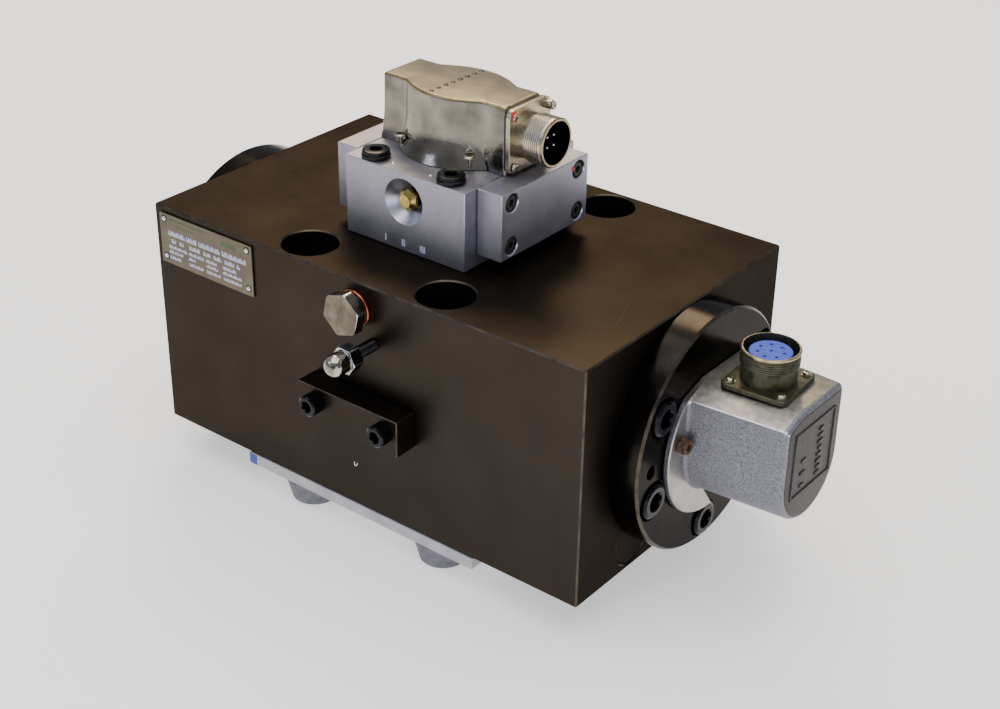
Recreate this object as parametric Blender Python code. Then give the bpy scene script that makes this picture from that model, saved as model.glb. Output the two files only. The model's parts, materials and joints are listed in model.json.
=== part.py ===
"""Servo cylinder block: a square block cylinder with round end heads, a two-stage servo valve on
top and a position transducer behind the rear head. Metres, +Z up, the rod leaves towards -X."""

import math

import bpy
import bmesh
from mathutils import Matrix, Vector

GAP = 0.0003  # clearance between touching pieces

# ---- driving dimensions -------------------------------------------------------------------
BLOCK_X = (-0.1245, 0.1230)  # the cylinder block's ends, from the middle of its fixing holes
BLOCK_WIDTH = 0.1485
BLOCK_HEIGHT = 0.115
FOOT_HEIGHT = 0.0123
FOOT_TOP_RADIUS = 0.0140
FOOT_BASE_RADIUS = 0.0112
FOOT_X = (-0.0420, 0.0383)
FOOT_Y = (-0.0598, 0.0598)
PLATE_THICKNESS = 0.006
PLATE_X = (-0.0713, 0.0666)
BORE_RADIUS = 0.035
ROD_RADIUS = 0.020
STROKE = 0.100
BORE_HEIGHT = 0.059  # bore axis above the block's underside

HEAD_RADIUS = 0.0555  # both round end heads
ROD_HEAD_THICKNESS = 0.0150
REAR_HEAD_THICKNESS = 0.0143
ROD_HEAD_SPIGOT = 0.044
REAR_HEAD_SPIGOT = 0.030
HEAD_CHAMFER = 0.001
HEAD_SEAT_DEPTH = 0.0085
STEM_COLLAR_RADIUS = 0.0090
ROD_STICKOUT = 0.020  # rod end beyond the rod head, retracted
ROD_BORE_DEPTH = 0.030  # length of the tapped end piece
HEAD_BOLT_CIRCLE = 0.0453
HEAD_BOLT_ANGLES = [math.radians(angle) for angle in (31.5, 148.5, 198.5, 269.7, 341.5)]  # +Y to +Z
JACK_HOLE_ANGLES = [math.radians(angle) for angle in (1, 179)]

MOUNT_HOLE_XY = (0.0393, 0.0589)  # M16 fixing holes, from the block's centre
MOUNT_HOLE_RADIUS = 0.00875
MOUNT_SEAT_RADIUS = 0.01305
MOUNT_SEAT_DEPTH = 0.017

VALVE_X = -0.0012
VALVE_BODY = Vector((0.068, 0.078, 0.037))
VALVE_BOLT_XY = (0.02143, 0.03254)
VALVE_CAP_HALF_WIDTH = 0.031
VALVE_CAP_Z = (0.006, 0.037)
VALVE_CAP_THICKNESS = {"left": 0.0118, "right": 0.0134}
SPOOL_Z = 0.0165
SLEEVE_RADIUS = 0.0085
SPOOL_RADIUS = 0.0050
SLEEVE_HALF_LENGTH = 0.0285
NULL_SCREW_Z = 0.0235
NULL_RECESS_RADIUS = 0.0108
NULL_RECESS_DEPTH = 0.0055
COVER_HEIGHT = 0.0306
COVER_HALF_LENGTH = 0.0350
COVER_WALL = 0.0012

HOUSING_DISC_RADIUS = 0.0370
HOUSING_DISC_THICKNESS = 0.0028
HOUSING_LENGTH = 0.0494  # from the rear head's face to the housing's end
HOUSING_HALF_WIDTH = (0.0250, 0.0227)  # at the disc and at the far end
HOUSING_TOP = 0.0313  # flat top above the bore axis
HOUSING_WALL = 0.003
BEVEL_Y = -0.0115  # the machined bevel starts here and falls towards the front
BEVEL_SLOPE = 0.335
SENSOR_CONNECTOR = {"x": 0.0241, "y": 0.0018, "turn": math.radians(3.75)}

COVER_PLATE = {"x": (-0.0239, 0.0346), "z": (0.0449, 0.0626), "thickness": 0.0119}
COVER_SCREWS = {"x": (-0.0128, 0.0272), "z": 0.0554}
PLUG_XZ = (0.0014, 0.1022)
PLUG_HEX = {"flats": 0.0092, "from": 0.0042, "to": 0.0093, "turn": math.radians(47.3)}
NEEDLE_XZ = (0.0106, 0.0871)
CAP_NUT_REACH = 0.0282  # the dome's top, off the block's front face
CAP_NUT = {"thread": 0.0033, "flats": 0.0058, "dome": 0.0051, "base": 0.0120, "shoulder": 0.0182,
           "turn": math.radians(25.4)}
GALLERY_PLUG_RADIUS = 0.0112
GALLERY_PLUG_DEPTH = 0.0097
NAMEPLATE = {"x": (-0.1205, -0.0603), "z": (0.0869, 0.1122)}

# ---- places worked out from them ----------------------------------------------------------
BLOCK_Z = FOOT_HEIGHT + GAP + PLATE_THICKNESS + GAP
AXIS_Z = BLOCK_Z + BORE_HEIGHT
BLOCK_TOP = BLOCK_Z + BLOCK_HEIGHT
VALVE_Z = BLOCK_TOP + GAP
LEFT_FACE, RIGHT_FACE = BLOCK_X
FRONT_FACE = -BLOCK_WIDTH / 2
ROD_END_X = LEFT_FACE - GAP - ROD_HEAD_THICKNESS - ROD_STICKOUT
REAR_HEAD_FACE = RIGHT_FACE + GAP + REAR_HEAD_THICKNESS
HOUSING_END_X = REAR_HEAD_FACE + HOUSING_LENGTH
GALLERY_PLUG_YZ = (-0.0345, BLOCK_Z + 0.0135)
CENTRE_X = (ROD_END_X + HOUSING_END_X) / 2
CENTRE_Y = -CAP_NUT_REACH / 2

FINE = 36  # points round a large bore or flange
ROUND = 24  # points round a fitting
SMALL = 12  # points round a screw or its hole
SEAT = 16  # points round a screw's counterbore
TAPPED = 8  # sides of a tapped hole

TO_PLUS_X = Matrix.Rotation(math.pi / 2, 4, "Y")
TO_MINUS_X = Matrix.Rotation(-math.pi / 2, 4, "Y")
TO_MINUS_Y = Matrix.Rotation(math.pi / 2, 4, "X")
TO_MINUS_Z = Matrix.Rotation(math.pi, 4, "X")
UPRIGHT = Matrix.Identity(4)

COLOURS = {  # slot: colour, metallic, roughness
    "black_oxide": ((0.035, 0.028, 0.022), 0.8, 0.38),
    "black_screw": ((0.02, 0.02, 0.022), 0.7, 0.3),
    "ground_steel": ((0.55, 0.55, 0.56), 1.0, 0.2),
    "anodised": ((0.33, 0.32, 0.38), 0.7, 0.4),
    "cast_aluminium": ((0.45, 0.44, 0.46), 0.8, 0.5),
    "bright_can": ((0.62, 0.58, 0.46), 1.0, 0.25),
    "nickel": ((0.6, 0.57, 0.5), 1.0, 0.25),
    "olive_cadmium": ((0.16, 0.16, 0.09), 0.8, 0.4),
    "blue_insert": ((0.02, 0.08, 0.5), 0.0, 0.5),
    "dark_insert": ((0.03, 0.03, 0.03), 0.0, 0.5),
    "brass": ((0.6, 0.45, 0.15), 1.0, 0.3),
    "bronze": ((0.5, 0.33, 0.15), 1.0, 0.35),
    "copper": ((0.7, 0.25, 0.12), 1.0, 0.35),
    "chrome": ((0.8, 0.8, 0.8), 1.0, 0.08),
    "rusty_screw": ((0.22, 0.12, 0.07), 0.6, 0.5),
    "plate_metal": ((0.5, 0.48, 0.52), 0.4, 0.45),
    "foot_rubber": ((0.18, 0.17, 0.18), 0.0, 0.7),
    "seal": ((0.03, 0.03, 0.03), 0.0, 0.6),
    "label_metal": ((0.3, 0.28, 0.22), 0.6, 0.4),
    "copper_coil": ((0.55, 0.22, 0.08), 0.7, 0.4),
    "circuit_board": ((0.03, 0.16, 0.06), 0.0, 0.5),
}


# ---- modelling helpers --------------------------------------------------------------------
def material(slot):
    """The slot's Principled material, made once."""
    found = bpy.data.materials.get(slot)
    if found:
        return found
    colour, metallic, roughness = COLOURS[slot]
    made = bpy.data.materials.new(slot)
    made.use_nodes = True
    shader = made.node_tree.nodes["Principled BSDF"]
    shader.inputs["Base Color"].default_value = (*colour, 1)
    shader.inputs["Metallic"].default_value = metallic
    shader.inputs["Roughness"].default_value = roughness
    return made


def mesh_of(name, build):
    """A mesh filled by build(bm), with its faces pointing out."""
    bm = bmesh.new()
    build(bm)
    bmesh.ops.recalc_face_normals(bm, faces=bm.faces)
    mesh = bpy.data.meshes.new(name)
    bm.to_mesh(mesh)
    bm.free()
    mesh.shade_smooth()
    mesh.set_sharp_from_angle(angle=math.radians(35))
    return mesh


def place(name, mesh, slot, at=(0, 0, 0), turn=UPRIGHT, parent=None):
    """An object of the mesh, at a place in the block's frame."""
    obj = bpy.data.objects.new(name, mesh)
    bpy.context.scene.collection.objects.link(obj)
    obj.matrix_world = Matrix.Translation(at) @ turn
    obj.parent = parent or ASSEMBLY
    if not mesh.materials:
        mesh.materials.append(material(slot))
    return obj


def cutter(target, mesh, at=(0, 0, 0), turn=UPRIGHT, operation="DIFFERENCE"):
    """Cuts the mesh out of the target, or joins it to it, with a Boolean and a hidden helper."""
    helper = bpy.data.objects.new(target.name + "_helper", mesh)
    bpy.context.scene.collection.objects.link(helper)
    helper.matrix_world = Matrix.Translation(at) @ turn
    helper.parent = ASSEMBLY
    helper.hide_render = True
    helper.display_type = "WIRE"
    boolean = target.modifiers.new("shape", "BOOLEAN")
    boolean.operation = operation
    boolean.solver = "EXACT"
    boolean.object = helper


def ring(radius, z, count, sides=0, turn=0.0):
    """Points round Z at height z: a circle, or a polygon of `sides` with `radius` across flats."""
    points = []
    for i in range(count):
        angle = 2 * math.pi * i / count
        reach = radius
        if sides:
            wedge = 2 * math.pi / sides
            reach = radius / math.cos((angle + wedge / 2) % wedge - wedge / 2)
        points.append((reach * math.cos(angle + turn), reach * math.sin(angle + turn), z))
    return points


def loft(rings, closed=False):
    """A build function for a skin through rings of equal count, capped, or closed on itself."""

    def build(bm):
        rows = [[bm.verts.new(point) for point in row] for row in rings]
        pairs = list(zip(rows, rows[1:]))
        if closed:
            pairs.append((rows[-1], rows[0]))
        else:
            bm.faces.new(rows[0])
            bm.faces.new(rows[-1])
        count = len(rows[0])
        for low, high in pairs:
            for i in range(count):
                j = (i + 1) % count
                bm.faces.new((low[i], low[j], high[j], high[i]))

    return build


def turned(name, profile, count=ROUND, closed=False):
    """A turned piece: profile is (radius, z) pairs along the outline."""
    return mesh_of(name, loft([ring(radius, z, count) for radius, z in profile], closed))


def block(name, low, high):
    """A rectangular block between two corners."""
    (x0, y0, z0), (x1, y1, z1) = low, high
    outline = [(x0, y0), (x1, y0), (x1, y1), (x0, y1)]
    return mesh_of(name, loft([[(x, y, z) for x, y in outline] for z in (z0, z1)]))


def rod_between(name, radius, low, high, count=ROUND):
    """A plain cylinder from z = low to z = high."""
    return turned(name, [(radius, low), (radius, high)], count)


def tapped_hole(name, radius, depth):
    """A many-sided cutter that clears the thread's circle."""
    return rod_between(name, radius / math.cos(math.pi / TAPPED), -depth, 0.01, TAPPED)


def cap_screw(name, thread, length, head, count=SMALL, height=None):
    """A socket head cap screw, its head's underside at z = 0 and its shank below."""
    radius = thread / 2
    height = height or thread
    socket = 0.42 * thread
    edge = 0.06 * thread
    rings = [ring(radius, -length, count), ring(radius, 0, count)]
    rings.append(ring(head / 2, 0, count))
    rings.append(ring(head / 2, height - edge, count))
    rings.append(ring(head / 2 - edge, height, count))
    rings.append(ring(socket, height, count, sides=6))
    rings.append(ring(socket, 0.45 * height, count, sides=6))
    return mesh_of(name, loft(rings))


# ---- the block and what it stands on ------------------------------------------------------
def make_block():
    low = (LEFT_FACE, FRONT_FACE, BLOCK_Z)
    body = place("main_block", block("main_block", low, (RIGHT_FACE, -FRONT_FACE, BLOCK_TOP)), "black_oxide")
    length = RIGHT_FACE - LEFT_FACE + 0.02
    bore = rod_between("bore", BORE_RADIUS / math.cos(math.pi / ROUND), -length / 2, length / 2, ROUND)
    cutter(body, bore, (0, 0, AXIS_Z), TO_PLUS_X)
    seat = rod_between("seat", MOUNT_SEAT_RADIUS, -MOUNT_SEAT_DEPTH, 0.01, SEAT)
    through = rod_between("through", MOUNT_HOLE_RADIUS, -BLOCK_HEIGHT - 0.01, 0, SEAT)
    for x in (-MOUNT_HOLE_XY[0], MOUNT_HOLE_XY[0]):
        for y in (-MOUNT_HOLE_XY[1], MOUNT_HOLE_XY[1]):
            cutter(body, seat, (x, y, BLOCK_TOP))
            cutter(body, through, (x, y, BLOCK_TOP))
    valve_thread = tapped_hole("valve_thread", 0.0043, 0.013)
    for x, y in valve_bolt_places():
        cutter(body, valve_thread, (x, y, BLOCK_TOP))
    head_thread = tapped_hole("head_thread", 0.0053, 0.0175)
    for face, turn in ((LEFT_FACE, TO_MINUS_X), (RIGHT_FACE, TO_PLUS_X)):
        for y, z in bolt_circle(HEAD_BOLT_ANGLES):
            cutter(body, head_thread, (face, y, z), turn)
    cut_front_holes(body)
    pocket = rod_between("pocket", GALLERY_PLUG_RADIUS + GAP, -GALLERY_PLUG_DEPTH - GAP, 0.01, ROUND)
    cutter(body, pocket, (RIGHT_FACE, *GALLERY_PLUG_YZ), TO_PLUS_X)
    return body


def cut_front_holes(body):
    """Tapped holes in the front face for the plug, the needle and the cover plate's screws."""
    plug_hole = tapped_hole("plug_hole", 0.0068, 0.0135)
    cutter(body, plug_hole, (PLUG_XZ[0], FRONT_FACE, BLOCK_Z + PLUG_XZ[1]), TO_MINUS_Y)
    needle_hole = tapped_hole("needle_hole", 0.0033, 0.0185)
    cutter(body, needle_hole, (NEEDLE_XZ[0], FRONT_FACE, BLOCK_Z + NEEDLE_XZ[1]), TO_MINUS_Y)
    plate_thread = tapped_hole("plate_thread", 0.0033, 0.013)
    for x, z in cover_plate_screw_places():
        cutter(body, plate_thread, (x, FRONT_FACE, z), TO_MINUS_Y)


def make_base():
    low = (PLATE_X[0], FRONT_FACE, FOOT_HEIGHT + GAP)
    high = (PLATE_X[1], -FRONT_FACE, FOOT_HEIGHT + GAP + PLATE_THICKNESS)
    place("base_plate", block("base_plate", low, high), "plate_metal")
    edge = 0.0008
    foot = turned("foot", [(FOOT_BASE_RADIUS - edge, 0), (FOOT_BASE_RADIUS, edge),
                           (FOOT_TOP_RADIUS, FOOT_HEIGHT)], ROUND)
    for row, y in zip(("front", "rear"), FOOT_Y):
        for side, x in zip(("left", "right"), FOOT_X):
            place(f"foot_{row}_{side}", foot, "foot_rubber", (x, y, 0))


def make_front_fittings():
    """The cover plate, the gallery plug and the throttle needle on the block's front face."""
    x0, x1 = COVER_PLATE["x"]
    z0, z1 = COVER_PLATE["z"]
    face = FRONT_FACE - GAP
    low = (x0, face - COVER_PLATE["thickness"], BLOCK_Z + z0)
    plate = place("cover_plate", block("cover_plate", low, (x1, face, BLOCK_Z + z1)), "black_oxide")
    through = rod_between("plate_hole", 0.0034, -0.01, 0.03, SMALL)
    screw = cap_screw("cover_plate_screw", 0.006, 0.022, 0.010)
    for name, (x, z) in zip(("left", "right"), cover_plate_screw_places()):
        cutter(plate, through, (x, FRONT_FACE, z), TO_MINUS_Y)
        seat = face - COVER_PLATE["thickness"] - GAP
        place(f"cover_plate_screw_{name}", screw, "black_screw", (x, seat, z), TO_MINUS_Y)

    profile = [(0.0068, 0), (0.0088, 0), (0.0088, 0.0015), (0.0068, 0.0015)]
    washer = turned("copper_washer", profile, ROUND, True)
    at = (PLUG_XZ[0], face, BLOCK_Z + PLUG_XZ[1])
    place("copper_washer", washer, "copper", at, TO_MINUS_Y)
    turn = PLUG_HEX["turn"]
    shank = [ring(0.0064, z, ROUND, turn=turn) for z in (-0.012, 0.0018)]
    collar = [ring(0.0080, z, ROUND, turn=turn) for z in (0.0018, PLUG_HEX["from"])]
    hexagon = [ring(PLUG_HEX["flats"], PLUG_HEX[end], ROUND, 6, turn) for end in ("from", "to")]
    place("hex_plug", mesh_of("hex_plug", loft(shank + collar + hexagon)), "ground_steel", at, TO_MINUS_Y)

    at = (NEEDLE_XZ[0], face, BLOCK_Z + NEEDLE_XZ[1])
    profile = [(0.0004, -0.0175), (0.0024, -0.0130), (0.0024, -0.0080), (0.0030, -0.0080),
               (0.0030, 0.0205), (0.0024, 0.0212)]
    needle = turned("throttle_needle", profile, ROUND)
    place("throttle_needle", needle, "black_screw", at, TO_MINUS_Y)
    place("cap_nut", mesh_of("cap_nut", loft(cap_nut_rings())), "chrome", at, TO_MINUS_Y)

    plug = rod_between("gallery_plug", GALLERY_PLUG_RADIUS, -GALLERY_PLUG_DEPTH, -GAP)
    place("gallery_plug", plug, "black_oxide", (RIGHT_FACE, *GALLERY_PLUG_YZ), TO_PLUS_X)
    x0, x1 = NAMEPLATE["x"]
    z0, z1 = NAMEPLATE["z"]
    label = block("nameplate", (x0, face - 0.0007, BLOCK_Z + z0), (x1, face, BLOCK_Z + z1))
    place("nameplate", label, "label_metal")


def cap_nut_rings():
    """The cap nut from its blind thread, over its base and hexagon, to the top of its dome."""
    thread = CAP_NUT["thread"]
    base = CAP_NUT["base"]
    shoulder = CAP_NUT["shoulder"]
    dome = CAP_NUT["dome"]
    turn = CAP_NUT["turn"]
    centre = CAP_NUT_REACH - GAP - dome
    rings = [ring(thread, z, ROUND, turn=turn) for z in (base + 0.0100, base)]
    rings += [ring(CAP_NUT["flats"], z, ROUND, 6, turn) for z in (base, shoulder)]
    rings.append(ring(dome, shoulder, ROUND, turn=turn))
    for step in range(4):
        angle = math.radians(20 * step)
        reach = dome * math.cos(angle)
        rings.append(ring(reach, centre + dome * math.sin(angle), ROUND, turn=turn))
    rings.append(ring(0.2 * dome, centre + dome, ROUND, turn=turn))
    return rings


def cover_plate_screw_places():
    height = BLOCK_Z + COVER_SCREWS["z"]
    return [(x, height) for x in COVER_SCREWS["x"]]


def bolt_circle(angles):
    """(y, z) places round the bore axis."""
    reach = HEAD_BOLT_CIRCLE
    return [(reach * math.cos(angle), AXIS_Z + reach * math.sin(angle)) for angle in angles]


# ---- heads, piston and rod ----------------------------------------------------------------
def make_heads():
    radius = BORE_RADIUS - GAP
    gland = ROD_RADIUS + 0.0004
    bush = ROD_RADIUS + 0.0030
    depth = ROD_HEAD_SPIGOT
    thick = ROD_HEAD_THICKNESS
    chamfer = HEAD_CHAMFER
    profile = [(radius, -depth), (radius, 0), (HEAD_RADIUS, 0), (HEAD_RADIUS, thick - chamfer),
               (HEAD_RADIUS - chamfer, thick)]
    profile += [(bush, thick), (bush, thick - 0.006), (gland, thick - 0.006)]  # the wiper's seat
    profile += [(gland, -0.004), (bush, -0.004), (bush, -0.010), (gland, -0.010)]  # the seal's groove
    profile += [(gland, -0.014), (bush, -0.014), (bush, -depth)]  # the bush's seat
    head = turned("rod_head", profile, FINE, True)
    face = LEFT_FACE - GAP
    head = place("rod_head", head, "black_oxide", (face, 0, AXIS_Z), TO_MINUS_X)
    cut_head_holes(head, face, TO_MINUS_X, ROD_HEAD_THICKNESS)
    add_head_screws("rod_head_screw", face, TO_MINUS_X, ROD_HEAD_THICKNESS)

    thick = REAR_HEAD_THICKNESS
    depth = REAR_HEAD_SPIGOT
    stem_hole = STEM_COLLAR_RADIUS + GAP
    profile = [(stem_hole, -depth), (radius, -depth), (radius, 0), (HEAD_RADIUS, 0),
               (HEAD_RADIUS, thick - chamfer), (HEAD_RADIUS - chamfer, thick), (stem_hole, thick)]
    face = RIGHT_FACE + GAP
    rear = turned("rear_head", profile, FINE, True)
    rear = place("rear_head", rear, "black_oxide", (face, 0, AXIS_Z), TO_PLUS_X)
    cut_head_holes(rear, face, TO_PLUS_X, REAR_HEAD_THICKNESS)
    add_head_screws("rear_head_screw", face, TO_PLUS_X, REAR_HEAD_THICKNESS)
    housing_thread = rod_between("housing_thread", 0.0023, -0.010, 0.01, SMALL)
    for y, z in housing_screw_places():
        cutter(rear, housing_thread, (REAR_HEAD_FACE, y, z), TO_PLUS_X)

    make_gland_rings()


def make_gland_rings():
    """The rod's bush, seal and wiper, which the rod head holds."""
    inner = ROD_RADIUS + GAP
    outer = ROD_RADIUS + 0.0030 - GAP
    at = (LEFT_FACE - GAP, 0, AXIS_Z)
    rings = {"rod_bush": (-ROD_HEAD_SPIGOT + 0.001, -0.014 - GAP, "bronze"),
             "rod_seal": (-0.010 + GAP, -0.004 - GAP, "seal"),
             "rod_wiper": (ROD_HEAD_THICKNESS - 0.006 + GAP, ROD_HEAD_THICKNESS, "seal")}
    for name, (low, high, slot) in rings.items():
        profile = [(inner, low), (outer, low), (outer, high), (inner, high)]
        place(name, turned(name, profile, FINE, True), slot, at, TO_MINUS_X)


def cut_head_holes(head, face, turn, thickness):
    """Counterbored screw holes and, at both sides, the tapped jacking holes."""
    through = rod_between("head_hole", 0.0054, -0.005, thickness + 0.01, SMALL)
    seat = rod_between("head_seat", 0.0088, thickness - HEAD_SEAT_DEPTH, thickness + 0.01, SEAT)
    for y, z in bolt_circle(HEAD_BOLT_ANGLES):
        cutter(head, through, (face, y, z), turn)
        cutter(head, seat, (face, y, z), turn)
    jack = rod_between("jack_hole", 0.0030, thickness - 0.009, thickness + 0.01, SMALL)
    for y, z in bolt_circle(JACK_HOLE_ANGLES):
        cutter(head, jack, (face, y, z), turn)


def add_head_screws(name, face, turn, thickness):
    screw = cap_screw(name, 0.010, 0.022, 0.016)
    seat = turn.to_3x3() @ Vector((0, 0, thickness - HEAD_SEAT_DEPTH + GAP))
    for number, (y, z) in enumerate(bolt_circle(HEAD_BOLT_ANGLES), 1):
        place(f"{name}_{number}", screw, "black_screw", Vector((face, y, z)) + seat, turn)


def make_rod():
    """Piston, seal, magnet ring, the gun-drilled rod and its tapped end, on an empty at the piston's centre."""
    piston_half = 0.022
    piston_x = RIGHT_FACE - REAR_HEAD_SPIGOT - 0.006 - piston_half
    carrier = bpy.data.objects.new("rod_carrier", None)
    bpy.context.scene.collection.objects.link(carrier)
    carrier.matrix_world = Matrix.Translation((piston_x, 0, AXIS_Z))
    carrier.parent = ASSEMBLY

    def ride(name, profile, slot, count=FINE):
        obj = place(name, turned(name, profile, count, True), slot, (piston_x, 0, AXIS_Z), TO_MINUS_X)
        obj.parent = carrier
        obj.matrix_parent_inverse = carrier.matrix_world.inverted()

    outer = BORE_RADIUS - 0.0005
    groove = outer - 0.004
    hub = 0.0152
    ride("piston", [(hub, -piston_half), (outer, -piston_half), (outer, -0.004), (groove, -0.004),
                    (groove, 0.004), (outer, 0.004), (outer, piston_half), (hub, piston_half)], "ground_steel")
    seal = 0.004 - GAP
    ride("piston_seal", [(groove + GAP, -seal), (BORE_RADIUS - GAP, -seal),
                         (BORE_RADIUS - GAP, seal), (groove + GAP, seal)], "seal")
    magnet_low = -piston_half + 0.0005
    magnet_high = magnet_low + 0.008
    ride("magnet_ring", [(0.0075, magnet_low), (0.0122, magnet_low), (0.0122, magnet_high),
                         (0.0075, magnet_high)], "dark_insert", ROUND)
    end = piston_x - ROD_END_X
    shoulder = piston_half + GAP
    drilled = 0.0065
    neck = hub - GAP
    tapped = 0.0105
    magnet_seat = 0.0125
    bottom = end - ROD_BORE_DEPTH
    ride("rod_end", [(tapped, bottom), (ROD_RADIUS, bottom), (ROD_RADIUS, end - 0.0015),
                     (ROD_RADIUS - 0.0015, end), (tapped, end)], "chrome")
    profile = [(magnet_seat, -piston_half), (neck, -piston_half), (neck, shoulder), (ROD_RADIUS, shoulder)]
    profile += [(ROD_RADIUS, bottom - GAP), (drilled, bottom - GAP)]
    profile += [(drilled, magnet_high + GAP), (magnet_seat, magnet_high + GAP)]
    ride("piston_rod", profile, "chrome")


# ---- position transducer ------------------------------------------------------------------
def make_transducer():
    face = REAR_HEAD_FACE
    inside = REAR_HEAD_THICKNESS + REAR_HEAD_SPIGOT
    at = (face, 0, AXIS_Z)
    collar = STEM_COLLAR_RADIUS
    stem = [(0.0050, -0.178), (0.0050, -inside - 0.002), (collar, -inside + 0.004), (collar, GAP),
            (0.0150, GAP), (0.0150, 0.008), (0.0130, 0.008), (0.0130, 0.022)]
    place("transducer_stem", turned("transducer_stem", stem, ROUND), "ground_steel", at, TO_PLUS_X)
    board = block("transducer_board", (0.0225, -0.0135, -0.012), (0.0241, 0.0135, 0.018))
    place("transducer_board", board, "circuit_board", at)
    make_housing()
    make_sensor_connector()


def housing_outline(half_width, top, x, inset=0.0):
    """The housing's cross-section at one x: flat top, bevelled front, straight sides, round bottom."""
    radius = half_width - inset
    corner = 0.0025
    flat = top - inset
    bevel_low = flat - BEVEL_SLOPE * (radius + BEVEL_Y)
    points = [(x, radius, flat - corner), (x, radius - corner, flat)]
    points += [(x, BEVEL_Y, flat), (x, -radius, bevel_low)]
    for step in range(0, 17):
        angle = math.pi + math.pi * step / 16
        points.append((x, radius * math.cos(angle), radius * math.sin(angle)))
    return points


def make_housing():
    near, far = HOUSING_HALF_WIDTH
    end = HOUSING_LENGTH
    start = GAP
    edge = 0.003
    rings = [housing_outline(near, HOUSING_TOP, start)]
    rings.append(housing_outline(far + 0.0001, HOUSING_TOP, end - edge))
    rings.append(housing_outline(far, HOUSING_TOP, end - 0.0012, 0.0008))
    rings.append(housing_outline(far, HOUSING_TOP, end, 0.0028))
    at = (REAR_HEAD_FACE, 0, AXIS_Z)
    housing = place("transducer_housing", mesh_of("transducer_housing", loft(rings)), "cast_aluminium", at)
    disc = mesh_of("housing_disc", loft([disc_outline(x) for x in (start, start + HOUSING_DISC_THICKNESS)]))
    cutter(housing, disc, at, operation="UNION")
    hollow = [housing_outline(near, HOUSING_TOP, -0.01, HOUSING_WALL),
              housing_outline(far, HOUSING_TOP, end - HOUSING_WALL, HOUSING_WALL)]
    cutter(housing, mesh_of("housing_hollow", loft(hollow)), at)
    opening = rod_between("connector_hole", 0.0100, HOUSING_TOP - 0.010, HOUSING_TOP + 0.01, ROUND)
    centre = (REAR_HEAD_FACE + SENSOR_CONNECTOR["x"], SENSOR_CONNECTOR["y"], AXIS_Z)
    cutter(housing, opening, centre)
    screw_hole = rod_between("housing_screw_hole", 0.0024, -0.005, 0.01, SMALL)
    screw = cap_screw("housing_screw", 0.004, 0.011, 0.007)
    for name, (y, z) in zip(("front", "rear"), housing_screw_places()):
        cutter(housing, screw_hole, (REAR_HEAD_FACE, y, z), TO_PLUS_X)
        seat = REAR_HEAD_FACE + GAP + HOUSING_DISC_THICKNESS + GAP
        place(f"housing_screw_{name}", screw, "rusty_screw", (seat, y, z), TO_PLUS_X)


def disc_outline(x):
    """The housing's disc, cut level with the flat top and with a flat at the lower rear."""
    points = []
    flat_angle = math.radians(-32)
    flat_reach = 0.0235
    for step in range(48):
        angle = 2 * math.pi * step / 48
        reach = HOUSING_DISC_RADIUS
        if math.sin(angle) > 0:
            reach = min(reach, (HOUSING_TOP - 0.0004) / math.sin(angle))
        over = math.sin(angle) - BEVEL_SLOPE * math.cos(angle)
        if over > 0:
            reach = min(reach, (HOUSING_TOP - 0.0004 - BEVEL_SLOPE * BEVEL_Y) / over)
        along = math.cos(angle - flat_angle)
        if along > 0:
            reach = min(reach, flat_reach / along)
        points.append((x, reach * math.cos(angle), reach * math.sin(angle)))
    return points


def housing_screw_places():
    reach = 0.0300
    angles = [math.radians(165), math.radians(15)]
    return [(reach * math.cos(angle), AXIS_Z + reach * math.sin(angle)) for angle in angles]


def connector_shell(name, flange, radius, reach):
    """A flanged box receptacle: a square flange at z = 0 to 2.2 mm and a hollow round shell."""
    thick = 0.0022
    wall = 0.0016
    count = ROUND
    inner = radius - wall
    floor = 0.0012
    rings = [ring(inner, reach, count), ring(inner, floor, count), ring(inner - 0.0022, floor, count),
             ring(inner - 0.0022, 0, count), ring(flange / 2, 0, count, 4), ring(flange / 2, thick, count, 4),
             ring(radius - 0.0006, thick, count), ring(radius - 0.0006, thick + 0.003, count),
             ring(radius, thick + 0.0034, count), ring(radius, reach - 0.0004, count),
             ring(radius - 0.0004, reach, count)]
    return mesh_of(name, loft(rings, True))


def make_sensor_connector():
    at = (REAR_HEAD_FACE + SENSOR_CONNECTOR["x"], SENSOR_CONNECTOR["y"], AXIS_Z + HOUSING_TOP + GAP)
    shell = connector_shell("sensor_connector_shell", 0.0302, 0.0126, 0.0170)
    turn = Matrix.Rotation(SENSOR_CONNECTOR["turn"], 4, "Z")
    place("sensor_connector_shell", shell, "olive_cadmium", at, turn)
    profile = [(0.0084, -0.004), (0.0084, 0.0013), (0.0106, 0.0016), (0.0106, 0.0030),
               (0.0092, 0.0035), (0.0092, 0.0150)]
    place("sensor_connector_insert", turned("sensor_connector_insert", profile), "blue_insert", at)


# ---- servo valve --------------------------------------------------------------------------
def valve_bolt_places():
    x, y = VALVE_BOLT_XY
    return [(VALVE_X + sx * x, sy * y) for sy in (-1, 1) for sx in (-1, 1)]


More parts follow.
